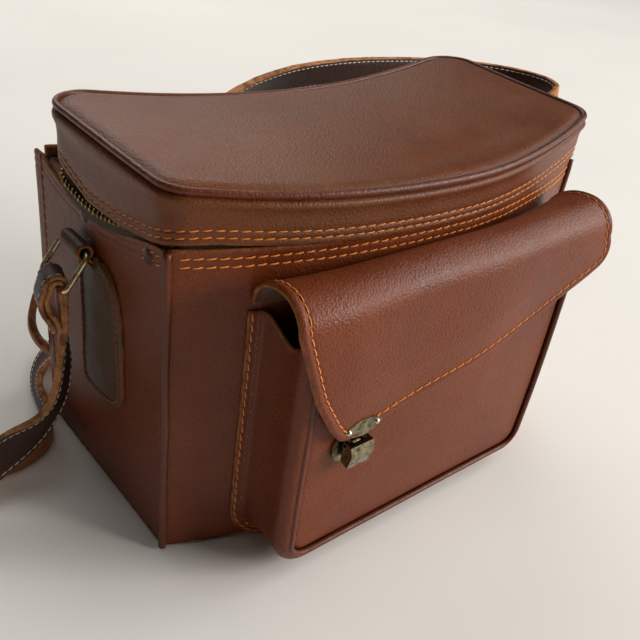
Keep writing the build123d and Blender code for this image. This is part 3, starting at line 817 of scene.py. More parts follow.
def lid_band():
    """Upright band: hem with two stitch rows, slight waist, and a rounded shoulder under the piping."""
    profile = [
        (0.95, 0.0), (1.45, 0.5), (1.7, 1.4), (1.75, 2.5), (1.4, 3.2), (1.2, 3.6), (1.4, 4.0), (1.72, 4.7),
        (1.74, 6.1), (1.4, 6.8), (1.2, 7.2), (1.4, 7.6), (1.7, 8.4), (1.55, 11.0), (1.6, 14.0), (1.95, 16.6),
        (2.7, 18.2), (3.3, 19.3), (3.4, 20.4), (2.9, 21.4), (1.7, 22.0), (0.5, 22.2)]
    out, up = np.array(profile).T * MM
    x, y = LID_POINTS.T
    foot = LID_BOTTOM + saddle(x)
    hem = np.where(y > 0, np.maximum(foot, BACK_HEM_Z), foot) - sag(HEM_SAG, x, y)
    gx = x[:, None] + LID_NORMALS[:, :1] * out
    gy = y[:, None] + LID_NORMALS[:, 1:] * out
    gz = hem[:, None] + up + (foot - hem)[:, None] * share(up, BAND_HEM, up[-1])
    grid = np.stack([gx, gy, gz], 2)
    own(sheet("lid_band_leather", grid, 1.5 * MM, LID_SKIN, closed=True),
        "lid", "brown_leather", "front_lid_band", "back_lid_band", "left_lid_band", "right_lid_band")
    around = np.append(np.arange(len(x)), 0)
    normals = np.column_stack([LID_NORMALS, 0 * x])[around]
    line = np.column_stack([LID_POINTS + LID_NORMALS * BAND_STITCH_OUT, hem])[around]
    seam("lid_band_stitches", [(line + [0, 0, row], normals) for row in BAND_ROWS], ORANGE, "lid",
         loose=0.12 * MM)


def lid_piping():
    z = LID_TOP + saddle(LID_POINTS[:, 0]) - 1.9 * MM
    for name, out, drop, radius, nodes in (
            ("lid_piping", 1.2, 0.0, 1.75, ["lid_welt"]), ("lid_piping_flange", 0.5, 1.9, 0.9, [])):
        line = np.column_stack([LID_POINTS + LID_NORMALS * out * MM, z - drop * MM])
        own(piping(name, line, radius * MM, 12, closed=True), "lid", "piping_leather", *nodes)


# Depth, place (x, y) and half sizes of the dents in the lid, in mm.
LID_DENTS = ((1.3, 4, -74, 16, 6), (0.9, 50, -66, 20, 8))


def lid_top():
    plan, far = kidney_patch(LID_POINTS + LID_NORMALS * 0.2 * MM, 120, 70, 0.75)
    x, y = plan[:, :, 0], plan[:, :, 1]
    z = LID_TOP + saddle(x) + 0.35 * MM + edge_drop(far, 3.0 * MM, 8 * MM) + 1.2 * MM * share(far, 0, 40 * MM)
    for depth, dent_x, dent_y, width, breadth in LID_DENTS:
        z = z - depth * MM * hump(x, dent_x * MM, width * MM) * hump(y, dent_y * MM, breadth * MM)
    grid = np.dstack([plan, z])
    own(sheet("lid_top_leather", grid, LEATHER, LID_SKIN), "lid", "brown_leather", "lid_top_panel")


lid_band()
lid_piping()
lid_top()


# ---------------------------------------------------------------- zip
TOOTH_PITCH = 3.9 * MM
ZIP_IN = 2.9 * MM        # the zip's line, inside the lid's wall
ZIP_PUSH = 4.2 * MM      # how far out the body's half bellies where its edge sags most
ZIP_END_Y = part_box("body_zip_teeth")[1].y


def zip_line(out):
    """Line of the zip along the two ends and the front, and its normals."""
    front = LID_POINTS[:, 1] < ZIP_END_Y
    start = int(np.argmax((LID_POINTS[:, 0] < 0) & front & ~np.roll(front, 1)))
    order = (start + np.arange(len(front))) % len(front)
    at_end = (LID_POINTS[:, 1] < 0) | (np.abs(LID_POINTS[:, 0]) > SAG_FULL_X)
    order = order[(front & at_end)[order]]
    return LID_POINTS[order] + LID_NORMALS[order] * out, LID_NORMALS[order]


def tooth(at, normal, along, z, up):
    """One brass element: a jaw on the tape and a small nose that reaches between the opposite ones."""
    outline = [(-1.25, -0.8), (1.25, -0.8), (1.25, 1.0), (0.55, 1.5), (0.45, 2.5), (-0.45, 2.5), (-0.55, 1.5),
               (-1.25, 1.0)]
    verts = []
    for t, shrink in ((-0.62, 0.8), (-0.45, 1.0), (0.45, 1.0), (0.62, 0.8)):
        for a, b in outline:
            p = at + normal * a * shrink * MM * 0.95 + along * t * MM
            verts.append((p[0], p[1], z + up * b * (0.5 + 0.5 * shrink) * MM))
    return verts, ring_faces(4, len(outline)) + end_caps(4, len(outline))


def zips():
    line, normals = zip_line(-ZIP_IN)
    total = lengths(line)[-1]
    mid = (ZIP_BODY_Z + ZIP_LID_Z) / 2
    for word, body, side, low, high in (("body", "root", -1, -7.0, -1.3), ("lid", "lid", 1, 1.3, 12.0)):
        drop = sag(TOP_SAG if side < 0 else HEM_SAG, line[:, 0], line[:, 1])
        push = drop[:, None] / DEEPEST_TOP_SAG * ZIP_PUSH if side < 0 else 0
        row = np.column_stack([line + normals * push, mid - drop])
        s = np.arange((0.5 + side / 4) * TOOTH_PITCH, total, TOOTH_PITCH)
        at, normal = sample(row, s), unit(sample(row, s, normals))
        along = np.stack([-normal[:, 1], normal[:, 0]], 1)
        parts = [tooth(a[:2], n, t, a[2] + side * 1.5 * MM, -side) for a, n, t in zip(at, normal, along)]
        verts, faces = gather(parts)
        own(build(f"{word}_zip_teeth_row", soften(verts), faces, [BRASS], smooth=False),
            body, "zip_brass", f"{word}_zip_teeth")
        z = row[:, 2:] + np.linspace(low, high, 7) * MM
        gx = row[:, :1] + normals[:, :1] * 0.35 * MM + 0 * z
        gy = row[:, 1:2] + normals[:, 1:] * 0.35 * MM + 0 * z
        own(sheet(f"{word}_zip_tape_cloth", np.stack([gx, gy, z], 2), 0.7 * MM, [TAPE, TAPE, TAPE]),
            body, "zip_tape", f"{word}_zip_tape")


zips()


# ---------------------------------------------------------------- pocket
def pocket_u(out=0.0, top=POCKET_TOP, n=150):
    """Upright U of the pocket, from its left top down and round to its right top, and its outward normals."""
    r = POCKET_CORNER_R
    low, half = POCKET_BOTTOM + r, POCKET_HALF - r
    t = np.linspace(0, math.pi / 2, 16)
    left = np.stack([-half - r * np.cos(t), low - r * np.sin(t)], 1)
    left_n = np.stack([-np.cos(t), -np.sin(t)], 1)
    side_z = np.linspace(top, low, n // 3)[:-1]
    bottom_x = np.linspace(-half, half, n // 2)[1:-1]
    points = [np.stack([np.full(len(side_z), -POCKET_HALF), side_z], 1), left,
              np.stack([bottom_x, np.full(len(bottom_x), POCKET_BOTTOM)], 1)]
    normals = [np.tile([-1.0, 0.0], (len(side_z), 1)), left_n, np.tile([0.0, -1.0], (len(bottom_x), 1))]
    mirror = np.array([-1, 1])
    points += [left[::-1] * mirror, points[0][::-1] * mirror]
    normals += [left_n[::-1] * mirror, normals[0][::-1] * mirror]
    points, normals = np.concatenate(points), np.concatenate(normals)
    return points + out * normals, normals


GUSSET_ROWS = (1.6 * MM, 4.6 * MM)
POCKET_ROUND = 6.5 * MM
GUSSET_FLANGE = 6.2 * MM
GUSSET_FOOT = 2.2 * MM   # where the flange begins to turn up into the side
GUSSET_TURN = 2.6 * MM
GUSSET_IN = 0.4 * MM     # how far inside the pocket's outline its side stands
OFF_WALL = 2.0 * MM      # from the front wall to the face of the leather sewn on it


def gusset():
    """Side and bottom wall of the pocket, with the flange that is sewn on the front of the bag."""
    points, normals = pocket_u()
    x, z = points.T
    root = front_y(x, OFF_WALL) - GUSSET_TURN
    edge_y = POCKET_FRONT_Y + POCKET_ROUND
    quarter = np.linspace(0, math.pi / 2, 8)
    layers = []

    def layer(out, y, sag_across=0.0, share_up=1.0):
        """One line of the surface: how far out of the U, how far forward, how deep in its slack top."""
        near_top = share(z, POCKET_TOP - 26 * MM, POCKET_TOP)
        dip = -8 * MM * near_top * math.sin(math.pi * min(1.0, sag_across * 1.15)) ** 1.5
        up = np.maximum(z + normals[:, 1] * out * share_up, 0.7 * MM)
        layers.append(np.column_stack([x + normals[:, 0] * out, y + 0 * x, up + dip]))

    for out in (GUSSET_FLANGE, 5.4 * MM, GUSSET_ROWS[1], 3.8 * MM, 2.8 * MM, GUSSET_FOOT):
        layer(out, front_y(np.clip(x + normals[:, 0] * out, -FRONT_HALF, FRONT_HALF), OFF_WALL))
    for a in np.linspace(0, math.pi / 2, 5):
        layer(GUSSET_FOOT - GUSSET_TURN * math.sin(a), front_y(x, OFF_WALL) - GUSSET_TURN * (1 - math.cos(a)))
    for t in (0.12, 0.28, 0.45, 0.6, 0.75, 0.88, 1.0):
        belly = -1.6 * MM * math.sin(math.pi * t)
        layer(-GUSSET_IN + belly, root + (edge_y - root) * t, 0.72 * t,
              (-GUSSET_IN + 0.3 * belly) / (-GUSSET_IN + belly))
    for a in quarter[1:]:
        layer(-GUSSET_IN - POCKET_ROUND * (1 - math.cos(a)), edge_y - POCKET_ROUND * math.sin(a), 0.72)
    layer(-POCKET_ROUND - 1.6 * MM, POCKET_FRONT_Y + 1.9 * MM, 0.72)
    own(sheet("pocket_gusset_leather", np.stack(layers, 1), 1.9 * MM, SKIN),
        "root", "brown_leather", "pocket_gusset")
    seams = []
    for out in GUSSET_ROWS:
        px = x + normals[:, 0] * out
        wall_normal = np.column_stack([px / FRONT_R, -np.sqrt(1 - (px / FRONT_R) ** 2), 0 * px])
        line = np.column_stack([px, front_y(px, OFF_WALL + 0.05 * MM), z + normals[:, 1] * out])
        seams.append((line, wall_normal))
    seam("gusset_stitches", seams, ORANGE, "root", loose=0.15 * MM)


def pocket_front():
    points, _ = pocket_u(-POCKET_ROUND - 2.2 * MM, POCKET_TOP - 5 * MM, 240)
    low_left = int(np.argmin(points[:, 0] + points[:, 1]))
    low_right = int(np.argmax(points[:, 0] - points[:, 1]))
    left, right = points[:low_left + 1][::-1], points[low_right:]
    bottom = points[low_left:low_right + 1]
    top = np.stack([np.linspace(points[0, 0], points[-1, 0], 60), np.full(60, POCKET_TOP - 5 * MM)], 1)
    plan = coons(bottom, right, top, left, 110, 80, 0.7)
    far = distance_to(points, plan, 900)
    swell = 3.0 * MM * share(far, 0, 60 * MM) ** 0.7
    y = POCKET_FRONT_Y + 1.6 * MM - swell - edge_drop(far, 1.3 * MM, 4 * MM)
    grid = np.stack([plan[:, :, 0], y, plan[:, :, 1]], 2)
    own(sheet("pocket_front_leather", grid, LEATHER, SKIN), "root", "brown_leather", "pocket_front_panel")
    points, normals = pocket_u(-POCKET_ROUND - 1.0 * MM, POCKET_TOP - 5 * MM)
    line = np.stack([points[:, 0], np.full(len(points), POCKET_FRONT_Y + 0.6 * MM), points[:, 1]], 1)
    own(piping("pocket_piping", line, 1.7 * MM, 12), "root", "piping_leather", "pocket_welt")


gusset()
pocket_front()


# ---------------------------------------------------------------- flap
FLAP_KNEE = FLAP_TOP - FLAP_ROLL_R
ROLL_LEN = FLAP_ROLL_R * math.pi / 2
FLAP_CREST_Y = FLAP_FACE_Y + FLAP_ROLL_R
FLAP_ROOT_DROP = 21 * MM  # from the crest down to where the flap is sewn on the wall
FLAP_LIFT = 4.5 * MM     # how much higher the flap starts at its right end
FLAP_LEFT, FLAP_RIGHT = flap_low.x + 2 * MM, 104 * MM
FLAP_EDGE = [            # left edge, tip by the clasp, rising lower edge and right end: (x, z) in mm
    (-113.2, 173), (-112, 168), (-108.2, 156), (-100.1, 132.5), (-92.5, 118.5), (-86.1, 108), (-80.5, 101.2),
    (-75.5, 98.5), (-69, 99), (-50, 101.5), (-19, 108), (17, 116), (56, 127), (88, 139), (106, 147),
    (112.5, 151.5), (115, 157.5), (114, 164), (111, 169)]
FLAP_ROW_IN = 5.4 * MM   # the flap's stitches, in from its edge


def smooth_line(points, n):
    """A curve through points, by Catmull-Rom."""
    p = np.asarray(points, float)
    p = np.concatenate([[2 * p[0] - p[1]], p, [2 * p[-1] - p[-2]]])
    out = []
    for a, b, c, d in zip(p, p[1:], p[2:], p[3:]):
        for t in np.linspace(0, 1, n, endpoint=False):
            out.append(0.5 * (2 * b + (c - a) * t + (2 * a - 5 * b + 4 * c - d) * t * t
                              + (3 * b - a - 3 * c + d) * t ** 3))
    out.append(p[-2])
    return np.array(out)


def flap_root_size(x):
    """How far the crest of the flap's arch stands off the wall at x, and the arch's length behind it."""
    gap = front_y(x, 2.2 * MM) - FLAP_CREST_Y
    return gap, math.pi / 2 * np.sqrt((gap ** 2 + FLAP_ROOT_DROP ** 2) / 2)


def flap_surface(x, s, out=0.0):
    """Flap at x and at distance s from the crest of its arch: place and the direction it faces."""
    a = np.clip(s / FLAP_ROLL_R, 0, math.pi / 2)
    hang = np.maximum(s - ROLL_LEN, 0)
    gap, length = flap_root_size(x)
    b = np.clip(-s / length, 0, 1) * math.pi / 2
    y = FLAP_CREST_Y - FLAP_ROLL_R * np.sin(a) + gap * np.sin(b)
    z = FLAP_KNEE + FLAP_ROLL_R * np.cos(a) - hang - FLAP_ROOT_DROP * (1 - np.cos(b))
    lift = FLAP_LIFT * share(x, FLAP_LEFT, FLAP_RIGHT) - 1.5 * MM
    z = z + lift * (1 - share(hang, 0, 40 * MM))
    normal = np.stack(np.broadcast_arrays(0 * x, np.sin(b) - np.sin(a), np.cos(a) * np.cos(b)), -1)
    return np.stack([x + 0 * s, y, z], -1) + normal * np.asarray(out)[..., None], normal


def flap_outline():
    """Outline of the flap laid flat, as (x, s): root, right side, lower edge and left side."""
    curve = smooth_line(FLAP_EDGE, 12) * MM
    flat = np.stack([curve[:, 0], ROLL_LEN + FLAP_KNEE - curve[:, 1]], 1)
    tip = int(np.argmax(flat[:, 1] - 0.4 * flat[:, 0]))
    turn = int(np.argmax(flat[:, 0] + 0.55 * flat[:, 1]))
    x = np.linspace(FLAP_LEFT, FLAP_RIGHT + 3 * MM, 80)
    root = np.stack([x, -flap_root_size(x)[1]], 1)
    left_top = np.linspace(root[0], flat[0], 20)
    right_top = np.linspace(flat[-1], root[-1], 20)
    left = np.concatenate([left_top[:-1], flat[:tip + 1]])
    lower = flat[tip:turn + 1]
    right = np.concatenate([flat[turn:-1], right_top])[::-1]
    return root, right, lower, left


def flap_wave(x, s):
    """Slack of the flap along its length, once it hangs."""
    return 0.8 * MM * np.sin(x * 60 + 0.6) * share(s, 0, 40 * MM)


def flap():
    root, right, lower, left = flap_outline()
    plan = coons(root, right, lower, left, 150, 120, 0.6)
    rim = np.concatenate([left, lower[1:], right[::-1][1:]])
    far = distance_to(rim, plan, 1500)
    x, s = plan[:, :, 0], plan[:, :, 1]
    bead = 0.75 * MM * hump(far, 2.4 * MM, 1.7 * MM) + edge_drop(far, 0.6 * MM, 1.2 * MM, 1)
    groove = -GROOVE * hump(far, FLAP_ROW_IN, 0.8 * MM)
    belly = 1.6 * MM * np.sin(share(s, 0, 100 * MM) * math.pi) * share(far, 0, 25 * MM)
    grid, _ = flap_surface(x, s, bead + groove + belly + flap_wave(x, s))
    obj = sheet("flap_leather", grid[::-1], 2.0 * MM, SKIN)
    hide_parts("pocket_flap", "flap_root")
    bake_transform(obj)
    inward = unit(np.gradient(rim, axis=0))[:, ::-1] * [1, -1]
    centre = plan.reshape(-1, 2).mean(0)
    inward = inward * np.sign(((centre - rim) * inward).sum(1, keepdims=True))
    row = rim + inward * FLAP_ROW_IN
    row_x, row_s = sample(row, np.linspace(12 * MM, lengths(row)[-1] - 10 * MM, 700)).T
    belly = 0.26 * MM * np.sin(share(row_s, 0, 100 * MM) * math.pi)
    line, normal = flap_surface(row_x, row_s, belly + flap_wave(row_x, row_s) - 0.05 * MM)
    stitches = seam("flap_stitches", [(line, normal)], ORANGE, slant=0.2 * MM)
    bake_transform(stitches)


flap()


# ---------------------------------------------------------------- chapes and rings
RING_OUT = 6.6 * MM
RING_Z = JOINT_PLACE["right_ring_swing"][2]
RING_Y = 12 * MM
ROLL_HALF = 10.2 * MM
CHAPE_SHAPE = [          # rear side, foot, front side and shoulder of the tab: (y, z) in mm
    (18, 150), (18.5, 120), (18.5, 74), (16.5, 67.5), (11, 65.5), (1, 65), (-11, 66.5), (-20.5, 71),
    (-25.5, 80), (-26.2, 100), (-25.5, 119), (-23.8, 133), (-20.5, 144), (-14.5, 151.5), (-6, 154.5)]
CHAPE_CENTRE = np.array([0, 108]) * MM
CHAPE_ROLL_R = 4.6 * MM


def chapes():
    for side, word in ((1, "right"), (-1, "left")):
        rim = smooth_line(CHAPE_SHAPE, 8) * MM
        a, b = int(np.argmin(rim @ (-0.9, 1))), int(np.argmin(rim @ (0.9, 1)))
        top = np.linspace(rim[0], rim[-1], 30)
        plan = coons(rim[a:b + 1], rim[b:], top, rim[:a + 1][::-1], 40, 60, 0.6)
        far = distance_to(rim, plan, 500)
        bead = 0.9 * MM * hump(far, 1.8 * MM, 1.3 * MM) + edge_drop(far, 0.9 * MM, MM, 1)
        out = 2.3 * MM + bead + 0.7 * MM * share(far, 0, 12 * MM)
        grid = on_end(side, plan[:, :, 0], plan[:, :, 1], out)
        tab = sheet(f"{word}_chape_leather", grid[::-1] if side > 0 else grid, 2.2 * MM, CHAPE_SKIN)
        own(tab, "root", "chape_leather", f"{word}_chape")
        angle = math.pi * np.linspace(-0.12, 1.3, 34)[1::4]
        arc = np.array([RING_OUT, RING_Z]) + CHAPE_ROLL_R * np.stack([np.cos(angle), np.sin(angle)], 1)
        rising = np.array([(2.6, 143), (3.2, 147), (7.6, 151.5)]) * MM
        loop = smooth_line(np.concatenate([rising, arc, [(1.6 * MM, 151 * MM)]]), 6)
        y = RING_Y + np.linspace(-1, 1, 9) * ROLL_HALF
        gy, out = np.meshgrid(y, loop[:, 0], indexing="ij")
        gz = np.broadcast_to(loop[:, 1], gy.shape)
        grid = on_end(side, gy, gz, out)
        roll = sheet(f"{word}_chape_roll", grid if side > 0 else grid[::-1], 1.7 * MM, CHAPE_SKIN)
        own(roll, "root", "chape_leather")
        inner = rim + unit(CHAPE_CENTRE - rim) * 3.6 * MM
        line = on_end(side, inner[:, 0], inner[:, 1], 3.1 * MM)
        seam(f"{word}_chape_stitches", [(line, end_normal(side))], RED_THREAD, "root",
             pitch=4.6 * MM, length=3.6 * MM, radius=0.34 * MM)


chapes()


# ---------------------------------------------------------------- hinge leather at the back
def hinge_leather():
    low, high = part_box("back_hinge_strip")
    x = np.linspace(low.x, high.x, 90)
    profile = [(1.2, 0.0), (1.9, 0.8), (2.2, 3.0), (1.75, 4.0), (2.2, 5.0), (2.2, 12.0), (2.2, 16.0),
               (2.2, 19.0), (2.2, 22.0), (2.2, 25.0), (2.2, 28.0), (2.2, 31.0), (1.85, 34.2), (2.0, 36.0)]
    out, up = np.array(profile).T * MM
    out = out + smooth_share(up, 16 * MM, 28 * MM) * (1.1 * MM - back_inset(x[:, None]))
    gx = np.broadcast_to(x[:, None], out.shape)
    gy = BACK_CENTRE - np.sqrt((BACK_R - out) ** 2 - gx ** 2)
    grid = np.stack([gx, gy, np.broadcast_to(low.z + up, gx.shape)], 2)[::-1]
    obj = sheet("hinge_leather", grid, 1.5 * MM, SKIN)
    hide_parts("back_hinge_strip")
    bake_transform(obj)
    rows = []
    for z, out in ((4.0, 1.9 * MM + 0 * x), (34.2, 3.1 * MM - back_inset(x))):
        line = np.stack([x, back_y(x, out), 0 * x + low.z + z * MM], 1)[3:-3]
        normal = np.stack([-line[:, 0] / BACK_R, np.sqrt(1 - (line[:, 0] / BACK_R) ** 2), 0 * line[:, 0]], 1)
        rows.append((line, normal))
    seam("hinge_body_stitches", rows[:1], ORANGE, "root")
    seam("hinge_lid_stitches", rows[1:], ORANGE, "lid")


hinge_leather()


# ---------------------------------------------------------------- shoulder strap
STRAP_W = 21 * MM
STRAP_PITCH = 4.3 * MM
ENDS_APART = 38 * MM     # from where the route begins and stops to the ends of its main piece
TAIL = 46 * MM           # how far from its two ends the strap's plies part
STRAP_ROUTE = [          # centre of the strap from the left ring to the right one, in mm
    (-162, 12, 103), (-163, 9, 80), (-172, 10, 54), (-198, 17, 30), (-238, 12, 15), (-282, 8, 11.5),
    (-312, 24, 11.5), (-320, 56, 11.5), (-298, 80, 11.5), (-262, 74, 11.5), (-228, 44, 11.5), (-192, 30, 11),
    (-168, 38, 11), (-157.5, 54, 11), (-156.5, 76, 11), (-146, 106, 11), (-114, 132, 11), (-78, 136, 11),
    (-48, 120, 11), (-40, 94, 11), (-58, 74, 11), (-90, 74, 14), (-122, 82, 22), (-145, 88, 38),
    (-154, 90, 62), (-144, 91, 88), (-120, 95, 114), (-86, 102, 143), (-42, 112, 169), (8, 119, 185),
    (58, 122, 190), (108, 121, 191), (152, 113, 190.5), (196, 100, 190), (230, 78, 190), (246, 50, 190.5),
    (243, 24, 191), (225, 11, 187.5), (205.3, 12, 179)]
STRAP_ACROSS = [         # which way the strap's width points, at some of those points
    (0, (0.5, 0.85, 0)), (1, (0.6, 0.7, -0.3)), (2, (0.4, 0.5, -0.75)), (3, (-0.2, -0.3, -0.9)),
    (4, (-0.1, -0.5, -0.85)), (5, (0, -0.4, -0.9)), (7, (0, 0, -1)), (14, (0, 0, -1)), (16, (-0.44, 0.9, 0)),
    (18, (0, 0, 1)), (20, (0, 0, 1)), (21, (0, -0.3, 1)), (22, (0.4, -0.8, 0.45)), (23, (0.25, -0.92, 0.2)),
    (24, (-0.3, -0.93, 0.15)), (25, (-0.62, -0.75, 0.16)), (26, (0, -0.94, 0.3)), (28, (0, -0.94, 0.3)),
    (29, (0, -0.75, 0.66)), (30, (0, -0.35, 0.94)), (31, (0, -0.2, 1)), (32, (0, 0, 1)), (36, (0, 0, 1)),
    (37, (0, 0.7, 0.7)), (38, (0, 1, 0))]
LEFT_TAIL = [(-166.4, 11.2, 115.5), (-167.6, 11.2, 119.5), (-170.4, 11.2, 126), (-171.2, 11.2, 132.5)]
LEFT_LEG = [(-161.4, 11.3, 131), (-161.4, 11.7, 117)]
RIGHT_LEG = [(24, -3.7), (10, -3.7)]    # along RIGHT_WAY and off it
RIGHT_TAIL = [(9, 3.75), (18, 3.9), (28, 4.9), (34, 6.2)]
LEFT_ACROSS, RIGHT_ACROSS = (0.24, 0.95, -0.18), (0.0, 1.0, 0.0)
LOOP_R = 3.8 * MM        # bend of the strap's middle round the ring's wire
LEFT_BAR = np.array([-0.1653, 0.0112, 0.1394])
RIGHT_BAR = np.array([0.1720, 0.0112, 0.1663])
RIGHT_WAY = np.array([0.906, 0.0, 0.4226])


def strap_route():
    """Points along the strap's smooth line, and how far along the list of its control points each one is."""
    curve = bpy.data.curves.new("strap_route", "CURVE")
    curve.dimensions = "3D"
    curve.resolution_u = 10
    spline = curve.splines.new("NURBS")
    spline.points.add(len(STRAP_ROUTE) - 1)
    for point, place in zip(spline.points, STRAP_ROUTE):
        point.co = (*(Vector(place) * MM), 1.0)
    spline.order_u = 3
    spline.use_endpoint_u = True
    holder = bpy.data.objects.new("strap_route", curve)
    mesh = bpy.data.meshes.new_from_object(holder)
    points = np.array([v.co[:] for v in mesh.vertices])
    bpy.data.objects.remove(holder)
    bpy.data.curves.remove(curve)
    bpy.data.meshes.remove(mesh)
    last = len(STRAP_ROUTE) - 1
    u = np.linspace(0, last - 1, len(points))
    return points, np.interp(u, [0] + [k + 0.5 for k in range(last - 1)] + [last - 1], range(last + 1))


def strap_line():
    """The whole strap as one line: tail, fold round the left ring, route, fold round the right ring, tail."""
    route, index = strap_route()
    turn = np.linspace(math.pi, 0, 11)
    arc = LEFT_BAR + LOOP_R * np.stack([np.cos(turn), 0 * turn, np.sin(turn)], 1)
    tail, leg = np.array(LEFT_TAIL) * MM, np.array(LEFT_LEG) * MM
    left = smooth_line(np.concatenate([tail, arc, leg, route[:1]]), 4)[:-1]
    up = np.array([-RIGHT_WAY[2], 0.0, RIGHT_WAY[0]])
    around = RIGHT_BAR - LOOP_R * (np.cos(turn)[:, None] * up + np.sin(turn)[:, None] * RIGHT_WAY)
    back_leg, end = [[RIGHT_BAR + (RIGHT_WAY * ahead + up * off) * MM for ahead, off in part]
                     for part in (RIGHT_LEG, RIGHT_TAIL)]
    right = smooth_line(np.concatenate([route[-1:], back_leg, around, end]), 4)[1:]
    line = np.concatenate([left, route, right])
    keys = np.array([k for k, _ in STRAP_ACROSS], float)
    ways = np.array([way for _, way in STRAP_ACROSS], float)
    across = np.stack([np.interp(index, keys, ways[:, k]) for k in range(3)], 1)
    across = np.concatenate([[LEFT_ACROSS] * len(left), across, [RIGHT_ACROSS] * len(right)])
    kernel = np.hanning(15)[1:-1]
    kernel = kernel / kernel.sum()
    padded = np.concatenate([np.repeat(across[:1], 6, 0), across, np.repeat(across[-1:], 6, 0)])
    across = np.stack([np.convolve(padded[:, k], kernel, "valid") for k in range(3)], 1)
    tangent = unit(np.gradient(line, axis=0))
    across = unit(across - tangent * (across * tangent).sum(1, keepdims=True))
    return line, across, np.cross(tangent, across), len(left), len(left) + len(route)


def strap_section():
    """Once round the strap: how far across and out of its finished face, and what each side is made of."""
    face = [(-10.0, 1.95), (-9.3, 2.12), (-8.7, 2.1), (-8.2, 1.85), (-7.7, 2.1), (-5.0, 2.2), (0.0, 2.3)]
    face = face + [(-a, b) for a, b in face[-2::-1]]
    edge = [(10.4, 1.45), (10.5, 0.45), (10.15, 0.05), (10.5, -0.35), (10.4, -1.5)]
    back = [(10.0, -2.0), (5.0, -2.1), (0.0, -2.1), (-5.0, -2.1), (-10.0, -2.0)]
    points = face + edge + back + [(-a, b) for a, b in edge[::-1]]
    raw = [RAW] * (len(edge) + 1)
    kinds = [OUTER] * (len(face) - 1) + raw + [FLESH] * (len(back) - 1) + raw
    return np.array(points) * MM, kinds


def ribbon(name, line, across, facing, splay):
    """One stretch of the strap with its two rows of stitches. Its two plies part where splay is over 0."""
    section, kinds = strap_section()
    n = len(section)
    side, height = section.T
    between_plies = (np.abs(height) < 0.1 * MM) & (np.abs(side) > 10 * MM)
    wide = side - np.sign(side) * between_plies * splay[:, None] * 3.5 * MM
    deep = height * (1 + 0.5 * splay[:, None])
    rings = line[:, None] + wide[:, :, None] * across[:, None] + deep[:, :, None] * facing[:, None]
    ruffle = np.array([noise.noise(Vector(p) * 90) for p in rings.reshape(-1, 3)]).reshape(rings.shape[:2])
    rings = rings + facing[:, None] * (ruffle * 0.35 * MM * (side / (10 * MM)) ** 2)[:, :, None]
    faces = ring_faces(len(line), n) + end_caps(len(line), n)
    marks = kinds * (len(line) - 1) + [RAW, RAW]
    edge = np.tile(np.maximum(STRAP_W / 2 - np.abs(side), 0), len(line))
    parts = [(rings.reshape(-1, 3), faces)]
    for w in (-8.2 * MM, 8.2 * MM):
        row = line + across * w + facing * (1.95 * MM * (1 + 0.5 * splay))[:, None]
        parts.extend(stitch_parts(row, facing, pitch=STRAP_PITCH, length=3.5 * MM, radius=0.36 * MM,
                                  slant=0.1 * MM, sink=0.3 * MM, rise=0.3 * MM))
    verts, all_faces = gather(parts)
    marks += [THREAD] * (len(all_faces) - len(faces))
    edge = np.concatenate([edge, np.full(len(verts) - len(edge), FAR_FROM_EDGE)])
    return build(name, verts, all_faces, [STRAP, STRAP_FLESH, STRAP_EDGE, WHITE], marks, edge=edge)


def strap():
    line, across, facing, a, b = strap_line()
    along = lengths(line)
    first = int(np.searchsorted(along, along[a] + ENDS_APART))
    last = int(np.searchsorted(along, along[b - 1] - ENDS_APART))
    splay = sum((1 - share(s, 0, TAIL)) ** 0.6 for s in (along, along[-1] - along))
    left, middle, right = [
        ribbon(name, line[part], across[part], facing[part], splay[part])
        for name, part in (("strap_left_end", slice(0, first + 1)), ("strap_leather", slice(first, last + 1)),
                           ("strap_right_end", slice(last, None)))]
    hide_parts("left_strap_end")
    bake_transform(left)
    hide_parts("right_strap_end")
    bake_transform(right)
    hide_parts("shoulder_strap")
    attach(middle, "root")


strap()


# ---------------------------------------------------------------- lining and divider
LINING_T = 3.0 * MM
LINING_IN = LEATHER + LINING_T
PAD_SWELL = 0.8 * MM
PAD_PRESSURE = 4
PAD_FRAMES = 20
PAD_RIM = 0.8 * MM        # from a pad's plain solid in to where its cloth begins to turn


def bake(obj):
    """Applies what the modifiers of an object make of it."""
    scene = bpy.context.view_layer.depsgraph
    scene.update()
    mesh = bpy.data.meshes.new_from_object(obj.evaluated_get(scene))
    obj.modifiers.clear()
    obj.data = mesh


def places(obj):
    """The points of an object, one in each row."""
    co = np.empty(len(obj.data.vertices) * 3, np.float32)
    obj.data.vertices.foreach_get("co", co)
    return co.reshape(-1, 3)


def pad(node, body, grid, thickness):
    """Padded cloth in the place of one of the lining's plain solids, puffed by a cloth simulation.
    The grid is the side that shows."""
    obj = sheet(f"{node}_pad", grid, thickness, [LINING, LINING, LINING], bulge=0.2, soft=False)
    start = places(obj)
    cloth = obj.modifiers.new("cloth", "CLOTH")
    cloth.settings.use_pressure = True
    cloth.settings.uniform_pressure_force = PAD_PRESSURE
    cloth.settings.effector_weights.gravity = 0
    cloth.settings.quality = 4
    for frame_number in range(1, PAD_FRAMES + 1):
        bpy.context.scene.frame_set(frame_number)
    bake(obj)
    move = places(obj) - start
    far = np.linalg.norm(move, axis=1, keepdims=True)
    moved = start + move * np.minimum(1, PAD_SWELL / np.maximum(far, 1e-9))
    obj.data.vertices.foreach_set("co", moved.ravel())
    bpy.context.scene.frame_set(1)
    obj.data.polygons.foreach_set("use_smooth", np.full(len(obj.data.polygons), True))
    own(obj, body, "lining", node)


